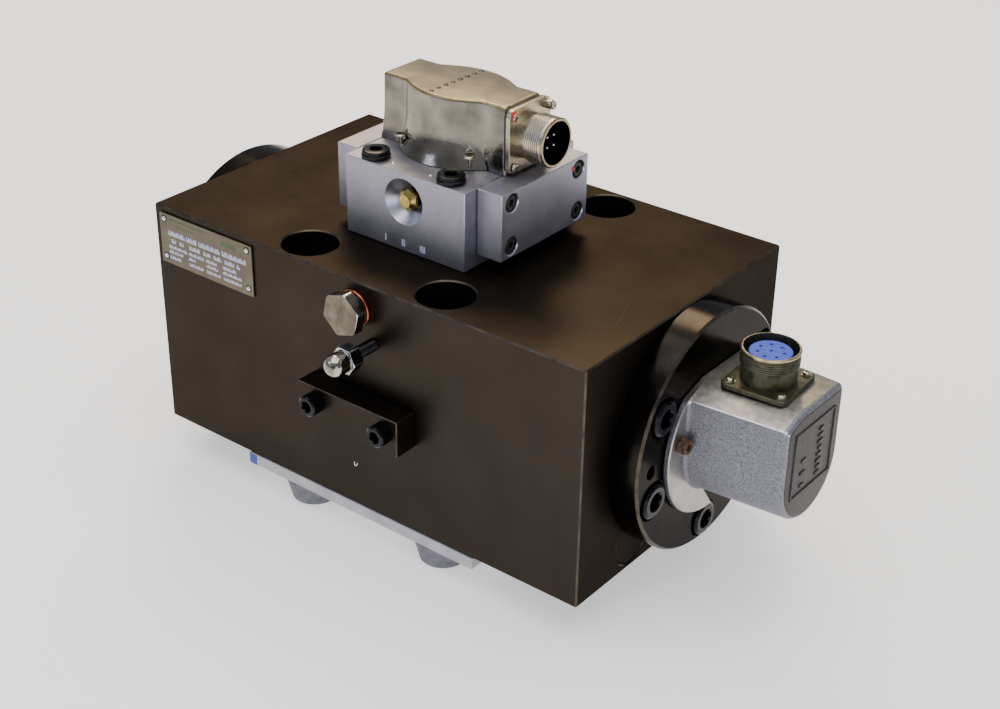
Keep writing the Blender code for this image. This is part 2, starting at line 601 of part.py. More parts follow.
def make_valve_body():
    half = VALVE_BODY / 2
    body = block("valve_body", (-half.x, -half.y, 0), (half.x, half.y, VALVE_BODY.z))
    body = place("valve_body", body, "anodised", (VALVE_X, 0, VALVE_Z))
    bore = rod_between("sleeve_bore", SLEEVE_RADIUS + GAP, -0.05, 0.05, ROUND)
    cutter(body, bore, (VALVE_X, 0, VALVE_Z + SPOOL_Z), TO_PLUS_X)
    profile = [(0.0028, -0.0295), (0.0028, -0.012), (0.0058, -0.012), (0.0058, -NULL_RECESS_DEPTH),
               (NULL_RECESS_RADIUS, 0), (NULL_RECESS_RADIUS, 0.01)]
    recess = turned("null_recess", profile)
    cutter(body, recess, (VALVE_X, -half.y, VALVE_Z + NULL_SCREW_Z), TO_MINUS_Y)
    well = rod_between("flapper_well", 0.0045, SPOOL_Z + 0.0010, VALVE_BODY.z + 0.01, ROUND)
    cutter(body, well, (VALVE_X, 0, VALVE_Z))
    hole = rod_between("valve_hole", 0.0044, -0.01, VALVE_BODY.z + 0.01, SMALL)
    screw = cap_screw("valve_screw", 0.008, VALVE_BODY.z + 0.012, 0.013, height=0.0036)
    names = ("front_left", "front_right", "rear_left", "rear_right")
    for name, (x, y) in zip(names, valve_bolt_places()):
        cutter(body, hole, (x, y, VALVE_Z))
        place(f"valve_screw_{name}", screw, "black_screw", (x, y, VALVE_Z + VALVE_BODY.z + GAP))


def make_valve_caps():
    low, high = VALVE_CAP_Z
    screw_seat = rod_between("cap_screw_seat", 0.0041, -0.0035, 0.01, SEAT)
    for side, sign, turn in (("left", -1, TO_MINUS_X), ("right", 1, TO_PLUS_X)):
        thick = VALVE_CAP_THICKNESS[side]
        inner = VALVE_BODY.x / 2 + GAP
        x0, x1 = sorted((sign * inner, sign * (inner + thick)))
        wide = VALVE_CAP_HALF_WIDTH
        cap = block("valve_cap_" + side, (x0, -wide, low), (x1, wide, high))
        cap = place("valve_cap_" + side, cap, "anodised", (VALVE_X, 0, VALVE_Z))
        for y in (-0.0238, 0.0238):
            for z in (low + 0.0055, high - 0.0055):
                cutter(cap, screw_seat, (VALVE_X + sign * (inner + thick), y, VALVE_Z + z), turn)


def make_spool():
    """The ported sleeve and the spool in it, with four lands and the flapper wire's groove."""
    at = (VALVE_X, 0, VALVE_Z + SPOOL_Z)
    bore = SPOOL_RADIUS + GAP
    length = SLEEVE_HALF_LENGTH
    sleeve = turned("valve_sleeve", [(bore, -length), (SLEEVE_RADIUS, -length), (SLEEVE_RADIUS, length),
                                     (bore, length)], ROUND, True)
    sleeve = place("valve_sleeve", sleeve, "ground_steel", at, TO_PLUS_X)
    slot = rod_between("sleeve_slot", 0.0030, 0, 0.02, SMALL)
    cutter(sleeve, slot, at)
    neck = 0.0028
    groove = 0.0020
    half = SLEEVE_HALF_LENGTH - 0.004
    profile = [(SPOOL_RADIUS, -half), (SPOOL_RADIUS, -0.017), (neck, -0.017), (neck, -0.010),
               (SPOOL_RADIUS, -0.010), (SPOOL_RADIUS, -0.0026), (groove, -0.0026)]
    profile += [(radius, -x) for radius, x in reversed(profile)]
    place("valve_spool", turned("valve_spool", profile, ROUND), "ground_steel", at, TO_PLUS_X)


def make_torque_motor():
    """The pole frame, two coils, and the armature whose flapper reaches down to the spool."""
    base = VALVE_Z + VALVE_BODY.z + GAP
    low, high = 0.0, 0.0250
    frame = block("motor_frame", (-0.0260, -0.0085, low), (0.0260, 0.0085, high))
    frame = place("motor_frame", frame, "black_oxide", (VALVE_X, 0, base))
    window = block("motor_window", (-0.0215, -0.02, 0.0045), (0.0215, 0.02, 0.0205))
    cutter(frame, window, (VALVE_X, 0, base))
    well = rod_between("frame_well", 0.0045, -0.01, 0.01, ROUND)
    cutter(frame, well, (VALVE_X, 0, base))
    for x0, x1 in ((-0.0230, -0.0174), (0.0174, 0.0230)):
        for z0, z1 in ((0.0040, 0.0107), (0.0143, 0.0210)):
            pole = block("pole", (x0, -0.0040, z0), (x1, 0.0040, z1))
            cutter(frame, pole, (VALVE_X, 0, base), operation="UNION")

    pivot = (VALVE_X, 0, base + 0.0125)
    wire_end = SPOOL_Z + 0.0025 - VALVE_BODY.z - 0.0125 - GAP
    bar = block("armature", (-0.0205, -0.0030, -0.0012), (0.0205, 0.0030, 0.0012))
    armature = place("armature", bar, "ground_steel", pivot)
    flapper = turned("flapper", [(0.0006, wire_end), (0.0006, -0.024), (0.0018, -0.024), (0.0018, 0.0)], SMALL)
    cutter(armature, flapper, pivot, operation="UNION")
    profile = [(0.0040, -0.0055), (0.0072, -0.0055), (0.0072, 0.0055), (0.0040, 0.0055)]
    coil = mesh_of("motor_coil", loft([ring(reach, x, SMALL, 4) for reach, x in profile], True))
    for side, sign in (("left", -1), ("right", 1)):
        place("motor_coil_" + side, coil, "copper_coil", (VALVE_X + sign * 0.0115, 0, pivot[2]), TO_PLUS_X)


def cover_half_width(x, end, middle, lobe):
    """Half the motor cover's width at x: narrow ends and a wide middle lobe."""
    if abs(x) >= lobe:
        return end
    return end + (middle - end) * math.cos(math.pi * x / (2 * lobe)) ** 0.8


def cover_outline(z, end, middle, lobe, half_length):
    """The motor cover's outline at height z, with the same number of points at every height."""
    steps = 24
    xs = [half_length * math.sin(math.pi * (i / steps - 0.5)) for i in range(steps + 1)]
    front = [(x, -cover_half_width(x, end, middle, lobe), z) for x in xs]
    rear = [(x, -y, z) for x, y, _ in reversed(front)]
    return front + rear


def make_motor_cover():
    levels = [  # height, end half-width, middle half-width, lobe length, half-length
        (0.0, 0.0138, 0.0258, 0.0262, 0.0357), (0.0035, 0.0136, 0.0250, 0.0258, 0.0356),
        (0.0070, 0.0130, 0.0222, 0.0238, 0.0353), (0.0120, 0.0127, 0.0205, 0.0222, COVER_HALF_LENGTH),
        (COVER_HEIGHT - 0.0010, 0.0124, 0.0198, 0.0218, COVER_HALF_LENGTH - 0.0005),
        (COVER_HEIGHT, 0.0116, 0.0190, 0.0214, COVER_HALF_LENGTH - 0.0013)]
    base = VALVE_Z + VALVE_BODY.z + GAP
    cover = mesh_of("motor_cover", loft([cover_outline(*level) for level in levels]))
    cover = place("motor_cover", cover, "bright_can", (VALVE_X, 0, base))
    wall = COVER_WALL
    inside = [(z - (0.01 if z == 0 else 0), end - wall, middle - wall - 0.0045, lobe - 0.002, reach - wall)
              for z, end, middle, lobe, reach in levels[:4]]
    top = levels[4]
    inside.append((COVER_HEIGHT - wall, top[1] - wall, top[2] - wall - 0.0005, top[3], top[4] - wall))
    hollow = mesh_of("cover_inside", loft([cover_outline(*level) for level in inside]))
    cutter(cover, hollow, (VALVE_X, 0, base))
    pocket = rod_between("cover_screw_pocket", 0.0028, 0.0050, 0.05, SMALL)
    for x in (-0.0196, 0.0196):
        for y in (-0.0180, 0.0180):
            cutter(cover, pocket, (VALVE_X + x, y, base))


def make_valve_connector():
    x = VALVE_X + COVER_HALF_LENGTH + 0.0007 + GAP
    at = (x, 0.0003, VALVE_Z + VALVE_BODY.z + 0.0155)
    shell = connector_shell("valve_connector_shell", 0.0290, 0.0111, 0.0164)
    place("valve_connector_shell", shell, "nickel", at, TO_PLUS_X)
    insert = rod_between("valve_connector_insert", 0.0090, 0.0015, 0.0040)
    insert = place("valve_connector_insert", insert, "dark_insert", at, TO_PLUS_X)
    pin = rod_between("pin", 0.0008, 0.0030, 0.0090, 8)
    for y in (-0.0032, 0.0032):
        for z in (-0.0032, 0.0032):
            cutter(insert, pin, (at[0], at[1] + y, at[2] + z), TO_PLUS_X, "UNION")


def make_null_screw():
    """The null adjuster: a brass hex nut in the recess, its pin reaching in towards the sleeve."""
    at = (VALVE_X, -VALVE_BODY.y / 2, VALVE_Z + NULL_SCREW_Z)
    rings = [ring(0.0024, z, ROUND) for z in (-0.0290, -0.0115)]
    rings += [ring(0.0044, z, ROUND, 6) for z in (-0.0115, -0.0004)]
    rings += [ring(0.0025, z, ROUND, 6) for z in (-0.0004, -0.0060)]
    place("null_screw", mesh_of("null_screw", loft(rings)), "brass", at, TO_MINUS_Y)


# ---- build --------------------------------------------------------------------------------
for old in list(bpy.data.objects):
    bpy.data.objects.remove(old)
ASSEMBLY = bpy.data.objects.new("assembly", None)
bpy.context.scene.collection.objects.link(ASSEMBLY)
make_block()
make_base()
make_front_fittings()
make_heads()
make_rod()
make_transducer()
make_valve_body()
make_valve_caps()
make_spool()
make_torque_motor()
make_motor_cover()
make_valve_connector()
make_null_screw()
ASSEMBLY.location = (-CENTRE_X, -CENTRE_Y, 0)
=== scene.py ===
"""Looks of the servo cylinder block: finer meshes and procedural finishes laid over its CAD model.
Metres, +Z up. Each fitting is modelled with its outer end at z = 0 and is turned to its axis."""

import json
import math

import bmesh
import bpy
from mathutils import Matrix, Vector


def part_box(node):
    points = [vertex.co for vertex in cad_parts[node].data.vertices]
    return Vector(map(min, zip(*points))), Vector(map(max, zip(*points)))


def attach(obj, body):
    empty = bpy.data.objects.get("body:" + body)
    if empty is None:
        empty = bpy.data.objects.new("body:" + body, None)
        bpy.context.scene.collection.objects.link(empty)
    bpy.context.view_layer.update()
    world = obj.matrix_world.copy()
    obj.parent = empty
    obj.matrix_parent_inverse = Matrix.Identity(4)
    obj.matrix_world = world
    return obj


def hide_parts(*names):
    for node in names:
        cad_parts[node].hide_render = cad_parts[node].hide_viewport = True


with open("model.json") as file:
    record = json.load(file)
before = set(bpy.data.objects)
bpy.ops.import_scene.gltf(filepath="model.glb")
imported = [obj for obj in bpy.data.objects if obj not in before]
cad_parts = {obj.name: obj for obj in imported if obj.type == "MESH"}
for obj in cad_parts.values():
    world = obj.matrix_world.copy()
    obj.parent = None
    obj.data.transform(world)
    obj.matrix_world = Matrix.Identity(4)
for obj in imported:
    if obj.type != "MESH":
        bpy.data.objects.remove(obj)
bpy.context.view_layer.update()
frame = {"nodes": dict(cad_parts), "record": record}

# ---- driving dimensions -------------------------------------------------------------------
MM = 0.001  # metres
ROUND = 96  # points round a turned piece; a multiple of 6, so a hexagon has its corners
SMALL_ROUND = 48
SHARP = math.radians(32)  # edges that bend more than this stay crisp
GAP = 0.0003  # clearance between touching pieces

BLOCK_CHAMFER = 0.0007
FOOT_BASE_RADIUS = 0.0112
SEAT_RADIUS = 0.01305  # the four fixing holes' counterbores
SEAT_DEPTH = 0.017
SEAT_HOLE_RADIUS = 0.00875
BORE_RADIUS = 0.035
HEAD_SPIGOT_RADIUS = 0.0347
HEAD_SEAT_RADIUS = 0.0088
HEAD_SEAT_DEPTH = 0.0085
JACK_HOLE_RADIUS = 0.0030
JACK_HOLE_DEPTH = 0.009
JACK_HOLE_ANGLES = (math.radians(1), math.radians(179))
HEAD_CHAMFER = 0.0011
HEAD_SCREWS = 5
BUSH_RADIUS = 0.0230
ROD_RADIUS = 0.020
EDGE_BREAK = 0.00015  # the smallest chamfer on machined fittings
HEXAGON_CORNER = 1.13  # reach of a hexagon's rounded corners, for 1 to its flats

NULL_RECESS = {"mouth": 0.0108, "floor": 0.0058, "depth": 0.0055, "hole": 0.012}
CAP_SCREW_SEAT = 0.0041
FLANGE_THICKNESS = 0.0022
CAN_BEAD = 0.0004  # the beads stand this high on the motor cover
CAN_SCREW_SEAT = 0.0050

HOUSING_TOP = 0.0313
HOUSING_HALF_WIDTH = (0.0250, 0.0227)
HOUSING_DISC_RADIUS = 0.0370
HOUSING_DISC_THICKNESS = 0.0028
BEVEL_Y = -0.0115
BEVEL_SLOPE = 0.335
RELIEF = 0.0006  # raised cast marks on the housing's end

CAMERA_AT = Vector((0.43838, -0.53891, 0.46568))
CAMERA_AZIMUTH = math.radians(37.816)
CAMERA_ELEVATION = math.radians(29.245)
CAMERA_ROLL = math.radians(0.941)

TURNS = {
    "+x": Matrix.Rotation(math.pi / 2, 4, "Y"),
    "-x": Matrix.Rotation(-math.pi / 2, 4, "Y"),
    "-y": Matrix.Rotation(math.pi / 2, 4, "X"),
    "+z": Matrix.Identity(4),
}


# ---- finishes -----------------------------------------------------------------------------
def add(tree, kind, inputs=None, **settings):
    """A node with its settings and inputs; an input is a value or another node's output."""
    node = tree.nodes.new(kind)
    for key, value in settings.items():
        setattr(node, key, value)
    for key, value in (inputs or {}).items():
        if isinstance(value, bpy.types.NodeSocket):
            tree.links.new(value, node.inputs[key])
        else:
            node.inputs[key].default_value = value
    return node


def noise(tree, size, stretch=(1, 1, 1), detail=4.0):
    """Noise in the piece's own space, with blobs about `size` metres across."""
    coords = add(tree, "ShaderNodeTexCoord")
    spread = add(tree, "ShaderNodeMapping", {"Vector": coords.outputs["Object"], "Scale": stretch})
    inputs = {"Vector": spread.outputs["Vector"], "Scale": 1 / size, "Detail": detail}
    return add(tree, "ShaderNodeTexNoise", inputs).outputs["Fac"]


def rescaled(tree, value, low, high, from_low=0.3, from_high=0.7):
    inputs = {"Value": value, "From Min": from_low, "From Max": from_high, "To Min": low, "To Max": high}
    return add(tree, "ShaderNodeMapRange", inputs).outputs["Result"]


def graded(tree, value, stops):
    """Colours along a ramp: stops are (position, colour)."""
    ramp = add(tree, "ShaderNodeValToRGB", {"Fac": value})
    elements = ramp.color_ramp.elements
    while len(elements) < len(stops):
        elements.new(0.5)
    for element, (position, colour) in zip(elements, stops):
        element.position = position
        element.color = (*colour, 1)
    return ramp.outputs["Color"]


def lathe_rings(tree, spacing):
    """Fine turning marks round the piece's own Z axis."""
    coords = add(tree, "ShaderNodeTexCoord")
    inputs = {"Vector": coords.outputs["Object"], "Scale": 0.31 / spacing, "Distortion": 0.4, "Detail": 2.0}
    settings = {"wave_type": "RINGS", "rings_direction": "Z"}
    return add(tree, "ShaderNodeTexWave", inputs, **settings).outputs["Fac"]


def spots(tree, size, sparse):
    """1 inside scattered pits about `size` metres across, and 0 elsewhere."""
    coords = add(tree, "ShaderNodeTexCoord")
    cells = add(tree, "ShaderNodeTexVoronoi", {"Vector": coords.outputs["Object"], "Scale": 1 / size})
    return rescaled(tree, cells.outputs["Distance"], 1.0, 0.0, sparse * 0.5, sparse)


def summed(tree, first, second, share):
    inputs = {0: second, 1: share, 2: first}
    return add(tree, "ShaderNodeMath", inputs, operation="MULTIPLY_ADD").outputs[0]


def finish(dark, light, metallic, rough, patch, grain, depth, stretch=(1, 1, 1), glance=1.0, rings=0,
           pits=None):
    """A finish: two tones, roughness from and to, then millimetres across its colour patches and its
    surface grain and the grain's depth. `stretch` shrinks the grain along the piece's axes, `glance`
    dims reflections at a low angle, `rings` is the pitch of turning marks, and `pits` gives the size
    of cast pits and how far they spread."""
    return {"tones": (dark, light), "metallic": metallic, "rough": rough, "patch": patch * MM,
            "grain": grain * MM, "depth": depth * MM, "stretch": stretch, "glance": glance,
            "rings": rings * MM, "pits": pits}


FINISHES = {
    "black_oxide": finish((0.033, 0.0265, 0.021), (0.041, 0.033, 0.026), 0.9, (0.3, 0.42),
                          30, 1.2, 0.04, glance=0.3, stretch=(1, 5, 5)),
    "oxide_turned": finish((0.012, 0.01, 0.009), (0.022, 0.018, 0.015), 0.9, (0.13, 0.22),
                           12, 0.8, 0.02, glance=0.6, rings=0.9),
    # lighter tone for broken edges on the black parts: a painted edge highlight
    "oxide_edge_highlight": finish((0.045, 0.036, 0.026), (0.095, 0.078, 0.056), 0.9, (0.25, 0.4), 6, 0.8, 0.03),
    "golden_edge": finish((0.2, 0.155, 0.075), (0.42, 0.33, 0.17), 1.0, (0.2, 0.34), 8, 0.6, 0.03),
    "black_screw": finish((0.006, 0.006, 0.007), (0.018, 0.018, 0.021), 0.8, (0.16, 0.28), 3, 0.5, 0.03),
    "ground_steel": finish((0.34, 0.31, 0.27), (0.5, 0.47, 0.42), 1.0, (0.18, 0.32),
                           8, 0.6, 0.03, rings=0.7),
    "plug_steel": finish((0.085, 0.074, 0.05), (0.19, 0.17, 0.13), 1.0, (0.2, 0.32), 6, 0.6, 0.03),
    # bright tone: real bare metal on the rivets and the nick, a painted highlight on the hexagons' corners
    # and edges
    "bare_metal_and_edge_highlight": finish((0.5, 0.5, 0.52), (0.75, 0.74, 0.74), 1.0, (0.15, 0.26), 2, 0.5, 0.02),
    "anodised": finish((0.31, 0.3, 0.35), (0.38, 0.37, 0.42), 0.85, (0.36, 0.46),
                       10, 0.5, 0.03, stretch=(1, 1, 4)),
    "bare_chamfer": finish((0.42, 0.42, 0.46), (0.6, 0.59, 0.62), 1.0, (0.26, 0.38), 4, 0.5, 0.02),
    "port_paint": finish((0.5, 0.48, 0.62), (0.68, 0.66, 0.8), 0.1, (0.35, 0.5), 2, 0.5, 0.03),
    "cast_aluminium": finish((0.13, 0.13, 0.155), (0.29, 0.285, 0.32), 0.75, (0.38, 0.55),
                             0.8, 0.6, 0.3, pits=(1.2, 0.3)),
    "cast_dark": finish((0.036, 0.032, 0.032), (0.066, 0.06, 0.058), 0.7, (0.42, 0.58),
                        2, 0.9, 0.2, pits=(1.6, 0.26)),
    "milled_aluminium": finish((0.25, 0.225, 0.195), (0.36, 0.33, 0.285), 0.9, (0.36, 0.48),
                               4, 0.7, 0.09, stretch=(6, 1, 1), pits=(3, 0.14)),
    "brushed_aluminium": finish((0.27, 0.25, 0.225), (0.42, 0.39, 0.36), 1.0, (0.3, 0.42),
                                3, 0.8, 0.1, stretch=(1, 8, 8)),
    "faced_aluminium": finish((0.33, 0.31, 0.29), (0.44, 0.415, 0.39), 0.95, (0.26, 0.38), 8, 0.6, 0.03),
    "bright_can": finish((0.105, 0.092, 0.074), (0.27, 0.245, 0.205), 1.0, (0.12, 0.2), 14, 2.2, 0.1),
    "can_top": finish((0.165, 0.145, 0.102), (0.235, 0.21, 0.155), 1.0, (0.28, 0.38), 10, 1.2, 0.06),
    "nickel": finish((0.4, 0.36, 0.28), (0.56, 0.51, 0.42), 1.0, (0.2, 0.32), 5, 0.5, 0.03),
    "warm_nickel": finish((0.34, 0.29, 0.2), (0.5, 0.44, 0.32), 1.0, (0.24, 0.36), 4, 0.5, 0.03),
    "olive_cadmium": finish((0.05, 0.05, 0.03), (0.11, 0.108, 0.062), 0.7, (0.28, 0.42), 3, 0.5, 0.04),
    "worn_gold": finish((0.22, 0.175, 0.095), (0.46, 0.39, 0.24), 1.0, (0.22, 0.36), 3, 0.5, 0.03),
    "blue_insert": finish((0.01, 0.05, 0.42), (0.025, 0.095, 0.62), 0.0, (0.4, 0.55), 3, 0.6, 0.03),
    "dark_insert": finish((0.01, 0.01, 0.01), (0.028, 0.027, 0.026), 0.0, (0.4, 0.55), 3, 0.6, 0.03),
    "brass": finish((0.36, 0.27, 0.08), (0.55, 0.42, 0.15), 1.0, (0.16, 0.3), 3, 0.5, 0.03),
    "bronze": finish((0.36, 0.22, 0.09), (0.5, 0.33, 0.15), 1.0, (0.28, 0.4), 4, 0.5, 0.03, rings=0.8),
    "copper": finish((0.42, 0.1, 0.04), (0.72, 0.24, 0.11), 1.0, (0.25, 0.42), 3, 0.5, 0.04),
    "chrome": finish((0.6, 0.6, 0.6), (0.7, 0.7, 0.69), 1.0, (0.06, 0.14), 10, 0.8, 0.01),
    # chrome painted dark: painted dark reflections on the cap nut's facets and painted shade inside the
    # valve connector's shell
    "chrome_painted_dark": finish((0.025, 0.022, 0.03), (0.11, 0.1, 0.1), 1.0, (0.08, 0.16), 4, 0.8, 0.01),
    # patches from near black to bright on the cap nut's dome: painted reflections
    "dome_painted_reflections": finish((0.03, 0.022, 0.012), (0.6, 0.55, 0.46), 1.0, (0.04, 0.09), 4.5, 3, 0.08),
    "rusty_screw": finish((0.055, 0.026, 0.014), (0.2, 0.12, 0.08), 0.6, (0.4, 0.65), 2, 0.6, 0.08),
    "plate_metal": finish((0.38, 0.36, 0.37), (0.52, 0.49, 0.5), 0.25, (0.38, 0.5),
                          12, 0.8, 0.04, stretch=(1, 6, 6)),
    "foot_rubber": finish((0.115, 0.112, 0.128), (0.205, 0.2, 0.222), 0.0, (0.6, 0.8), 3, 0.8, 0.12),
    "seal": finish((0.012, 0.012, 0.012), (0.03, 0.03, 0.03), 0.0, (0.45, 0.6), 3, 0.6, 0.04),
    "label_metal": finish((0.09, 0.074, 0.045), (0.14, 0.116, 0.075), 0.6, (0.34, 0.46),
                          10, 0.6, 0.03, stretch=(1, 5, 5)),
    "label_marks": finish((0.42, 0.42, 0.62), (0.62, 0.62, 0.84), 0.1, (0.3, 0.42), 2, 0.6, 0.02),
    "label_green": finish((0.03, 0.08, 0.02), (0.055, 0.125, 0.035), 0.1, (0.4, 0.5), 4, 0.6, 0.02),
    "red_lacquer": finish((0.55, 0.01, 0.01), (0.78, 0.03, 0.025), 0.0, (0.2, 0.35), 1, 0.6, 0.06),
    "blue_sticker": finish((0.02, 0.045, 0.26), (0.045, 0.1, 0.42), 0.0, (0.4, 0.55), 2, 0.6, 0.02),
    "copper_coil": finish((0.34, 0.11, 0.03), (0.55, 0.22, 0.08), 0.7, (0.3, 0.42),
                          2, 0.4, 0.12, stretch=(12, 1, 1)),
    "circuit_board": finish((0.015, 0.1, 0.03), (0.03, 0.17, 0.06), 0.0, (0.35, 0.5), 4, 0.6, 0.03),
}


def look(name):
    """The finish's material, made once."""
    found = bpy.data.materials.get("look_" + name)
    if found:
        return found
    recipe = FINISHES[name]
    made = bpy.data.materials.new("look_" + name)
    made.use_nodes = True
    tree = made.node_tree
    shader = tree.nodes["Principled BSDF"]
    shader.inputs["Metallic"].default_value = recipe["metallic"]
    shader.inputs["Specular Tint"].default_value = (*[recipe["glance"]] * 3, 1)
    dark, light = recipe["tones"]
    patches = noise(tree, recipe["patch"], detail=6.0)
    colour = graded(tree, patches, [(0.32, dark), (0.68, light)])
    tree.links.new(colour, shader.inputs["Base Color"])
    grain = noise(tree, recipe["grain"], recipe["stretch"])
    roughness = rescaled(tree, summed(tree, grain, patches, 0.5), *recipe["rough"], 0.5, 1.0)
    tree.links.new(roughness, shader.inputs["Roughness"])
    height = grain
    if recipe["pits"]:
        size, spread = recipe["pits"]
        height = summed(tree, height, spots(tree, size * MM, spread), -0.8)
    if recipe["rings"]:
        height = summed(tree, height, lathe_rings(tree, recipe["rings"]), 0.7)
    bump = add(tree, "ShaderNodeBump", {"Height": height, "Strength": 0.6, "Distance": recipe["depth"]})
    tree.links.new(bump.outputs["Normal"], shader.inputs["Normal"])
    return made


# ---- mesh helpers -------------------------------------------------------------------------
def mesh_of(build):
    """A smooth-shaded mesh filled by build(bm), with its faces pointing out and its corners crisp."""
    bm = bmesh.new()
    build(bm)
    bmesh.ops.recalc_face_normals(bm, faces=bm.faces)
    mesh = bpy.data.meshes.new("mesh")
    bm.to_mesh(mesh)
    bm.free()
    return crisp(mesh)


def crisp(mesh):
    mesh.shade_smooth()
    mesh.set_sharp_from_angle(angle=SHARP)
    return mesh


def ring(radius, z, count=ROUND, sides=0, turn=0.0):
    """Points round Z: a circle, or a polygon of `sides` with `radius` across its flats."""
    points = []
    for i in range(count):
        angle = 2 * math.pi * i / count
        reach = radius
        if sides:
            wedge = 2 * math.pi / sides
            reach = radius / math.cos((angle + wedge / 2) % wedge - wedge / 2)
        points.append(Vector((reach * math.cos(angle + turn), reach * math.sin(angle + turn), z)))
    return points


def loft(rings, closed=False):
    """A skin through rings of equal count, capped at its ends or closed on itself."""

    def build(bm):
        rows = [[bm.verts.new(point) for point in row] for row in rings]
        pairs = list(zip(rows, rows[1:]))
        if closed:
            pairs.append((rows[-1], rows[0]))
        else:
            bm.faces.new(rows[0])
            bm.faces.new(rows[-1])
        count = len(rows[0])
        for low, high in pairs:
            for i in range(count):
                j = (i + 1) % count
                bm.faces.new((low[i], low[j], high[j], high[i]))

    return mesh_of(build)


def turned(profile, count=ROUND, closed=False):
    """A turned piece: profile is (radius, z) pairs along its outline."""
    return loft([ring(radius, z, count) for radius, z in profile], closed)


def chamfered(low, high, chamfer, segments=1):
    """A block between two corners with all its edges broken."""
    size = Vector(high) - Vector(low)
    middle = (Vector(high) + Vector(low)) / 2

    def build(bm):
        bmesh.ops.create_cube(bm, size=1.0)
        for vert in bm.verts:
            vert.co = Vector(c * s for c, s in zip(vert.co, size)) + middle
        bmesh.ops.bevel(bm, geom=bm.edges[:], offset=chamfer, segments=segments, affect="EDGES", profile=0.5)

    return mesh_of(build)


def rounded_plate(half_x, half_y, corner, low, high, chamfer=0.0002, per_corner=8):
    """A flat plate with rounded corners and broken edges, from z = low to z = high."""

    def outline(inset, z):
        points = []
        for quarter, (sx, sy) in enumerate(((1, 1), (-1, 1), (-1, -1), (1, -1))):
            centre = Vector((sx * (half_x - corner), sy * (half_y - corner), z))
            for step in range(per_corner + 1):
                angle = math.pi / 2 * (quarter + step / per_corner)
                reach = corner - inset
                points.append(centre + Vector((reach * math.cos(angle), reach * math.sin(angle), 0)))
        return points

    return loft([outline(chamfer, low), outline(0, low + chamfer), outline(0, high - chamfer),
                 outline(chamfer, high)])


def joined(parts):
    """One mesh from (mesh, matrix) pairs."""
    bm = bmesh.new()
    for mesh, at in parts:
        first = len(bm.verts)
        bm.from_mesh(mesh)
        bm.verts.ensure_lookup_table()
        bmesh.ops.transform(bm, matrix=at, verts=bm.verts[first:])
    made = bpy.data.meshes.new("mesh")
    bm.to_mesh(made)
    bm.free()
    return crisp(made)


def carved(mesh, tools):
    """The mesh with the tools, (mesh, matrix) pairs that stay clear of each other, cut out of it."""
    body = bpy.data.objects.new("carved", mesh)
    tool = bpy.data.objects.new("tool", joined(tools))
    for obj in (body, tool):
        bpy.context.scene.collection.objects.link(obj)
    boolean = body.modifiers.new("cut", "BOOLEAN")
    boolean.operation = "DIFFERENCE"
    boolean.solver = "EXACT"
    boolean.object = tool
    bpy.context.view_layer.update()
    graph = bpy.context.evaluated_depsgraph_get()
    made = bpy.data.meshes.new_from_object(body.evaluated_get(graph))
    bpy.data.objects.remove(body)
    bpy.data.objects.remove(tool)
    return crisp(made)


def shift(x=0.0, y=0.0, z=0.0):
    return Matrix.Translation((x, y, z))


def sink(mouth, depth, hole=None, through=0.02, chamfer=0.0004):
    """A cutter for a counterbore with a broken mouth at z = 0, and the hole below it."""
    profile = []
    if hole:
        profile += [(hole, -through), (hole, -depth)]
    profile += [(mouth, -depth), (mouth, -chamfer), (mouth + chamfer, 0), (mouth + chamfer, 0.005)]
    return turned(profile, SMALL_ROUND)


def hexagon_head(flats, low, high, turn, edge):
    """Rings of a hexagon with rounded corners, its ends turned down outside `edge` times its flats."""
    slope = 0.5
    bottom, lower, upper, top = (ring(flats, z, ROUND, 6, turn) for z in (low, low, high, high))
    for points, sign in ((lower, 1), (upper, -1)):
        for point in points:
            reach = point.xy.length
            point.z += sign * (EDGE_BREAK + slope * max(0.0, reach - edge * flats))
            point.xy *= min(1.0, HEXAGON_CORNER * flats / reach)
    for point in bottom + top:
        point.xy *= min(1 - EDGE_BREAK / flats, edge * flats / point.xy.length)
    return [bottom, lower, upper, top]


def paint_hexagon(mesh, flats, low, high, facets, edges, rest):
    """Finishes for a hexagon's facets, for its rounded corners and broken edges, which carry a painted
    highlight, and for all that lies outside low to high.
    """

    def choose(face):
        if not low < face.center.z < high:
            return rest
        rounded = face.center.xy.length > 0.98 * HEXAGON_CORNER * flats
        sloping = 0.1 < abs(face.normal.z) < 0.97
        return edges if rounded or sloping else facets

    return paint_faces(mesh, [facets, edges, rest], choose)


def socket_screw(head, height, socket, thread, length, knurls=36):
    """A socket head cap screw, its head's top at z = 0: knurled side, turned edge, hexagon socket."""
    count = 2 * knurls
    edge = 0.06 * head
    tooth = 0.036  # depth of a knurl, for a head radius of 1

    def knurl(z):
        points = ring(head / 2, z, count)
        for point in points[::2]:
            point.xy *= 1 - tooth
        return points

    rings = [ring(thread / 2, z, count) for z in (-height - length, -height)]
    rings += [ring(head / 2 - edge / 2, -height, count), knurl(-height + edge / 2), knurl(-edge)]
    rings += [ring(head / 2 - edge, -0.25 * edge, count), ring(head / 2 - 1.4 * edge, 0, count)]
    return loft(rings + hexagon_socket(socket, height, count))


def hexagon_socket(across, height, count):
    """Rings of a socket sunk from z = 0 into a head of some height, with a countersunk mouth."""
    flats = across / 2
    return [ring(flats / math.cos(math.pi / 6), 0, count), ring(flats, -0.2 * flats, count, 6),
            ring(flats, -0.6 * height, count, 6), ring(0.2 * flats, -0.7 * height, count)]


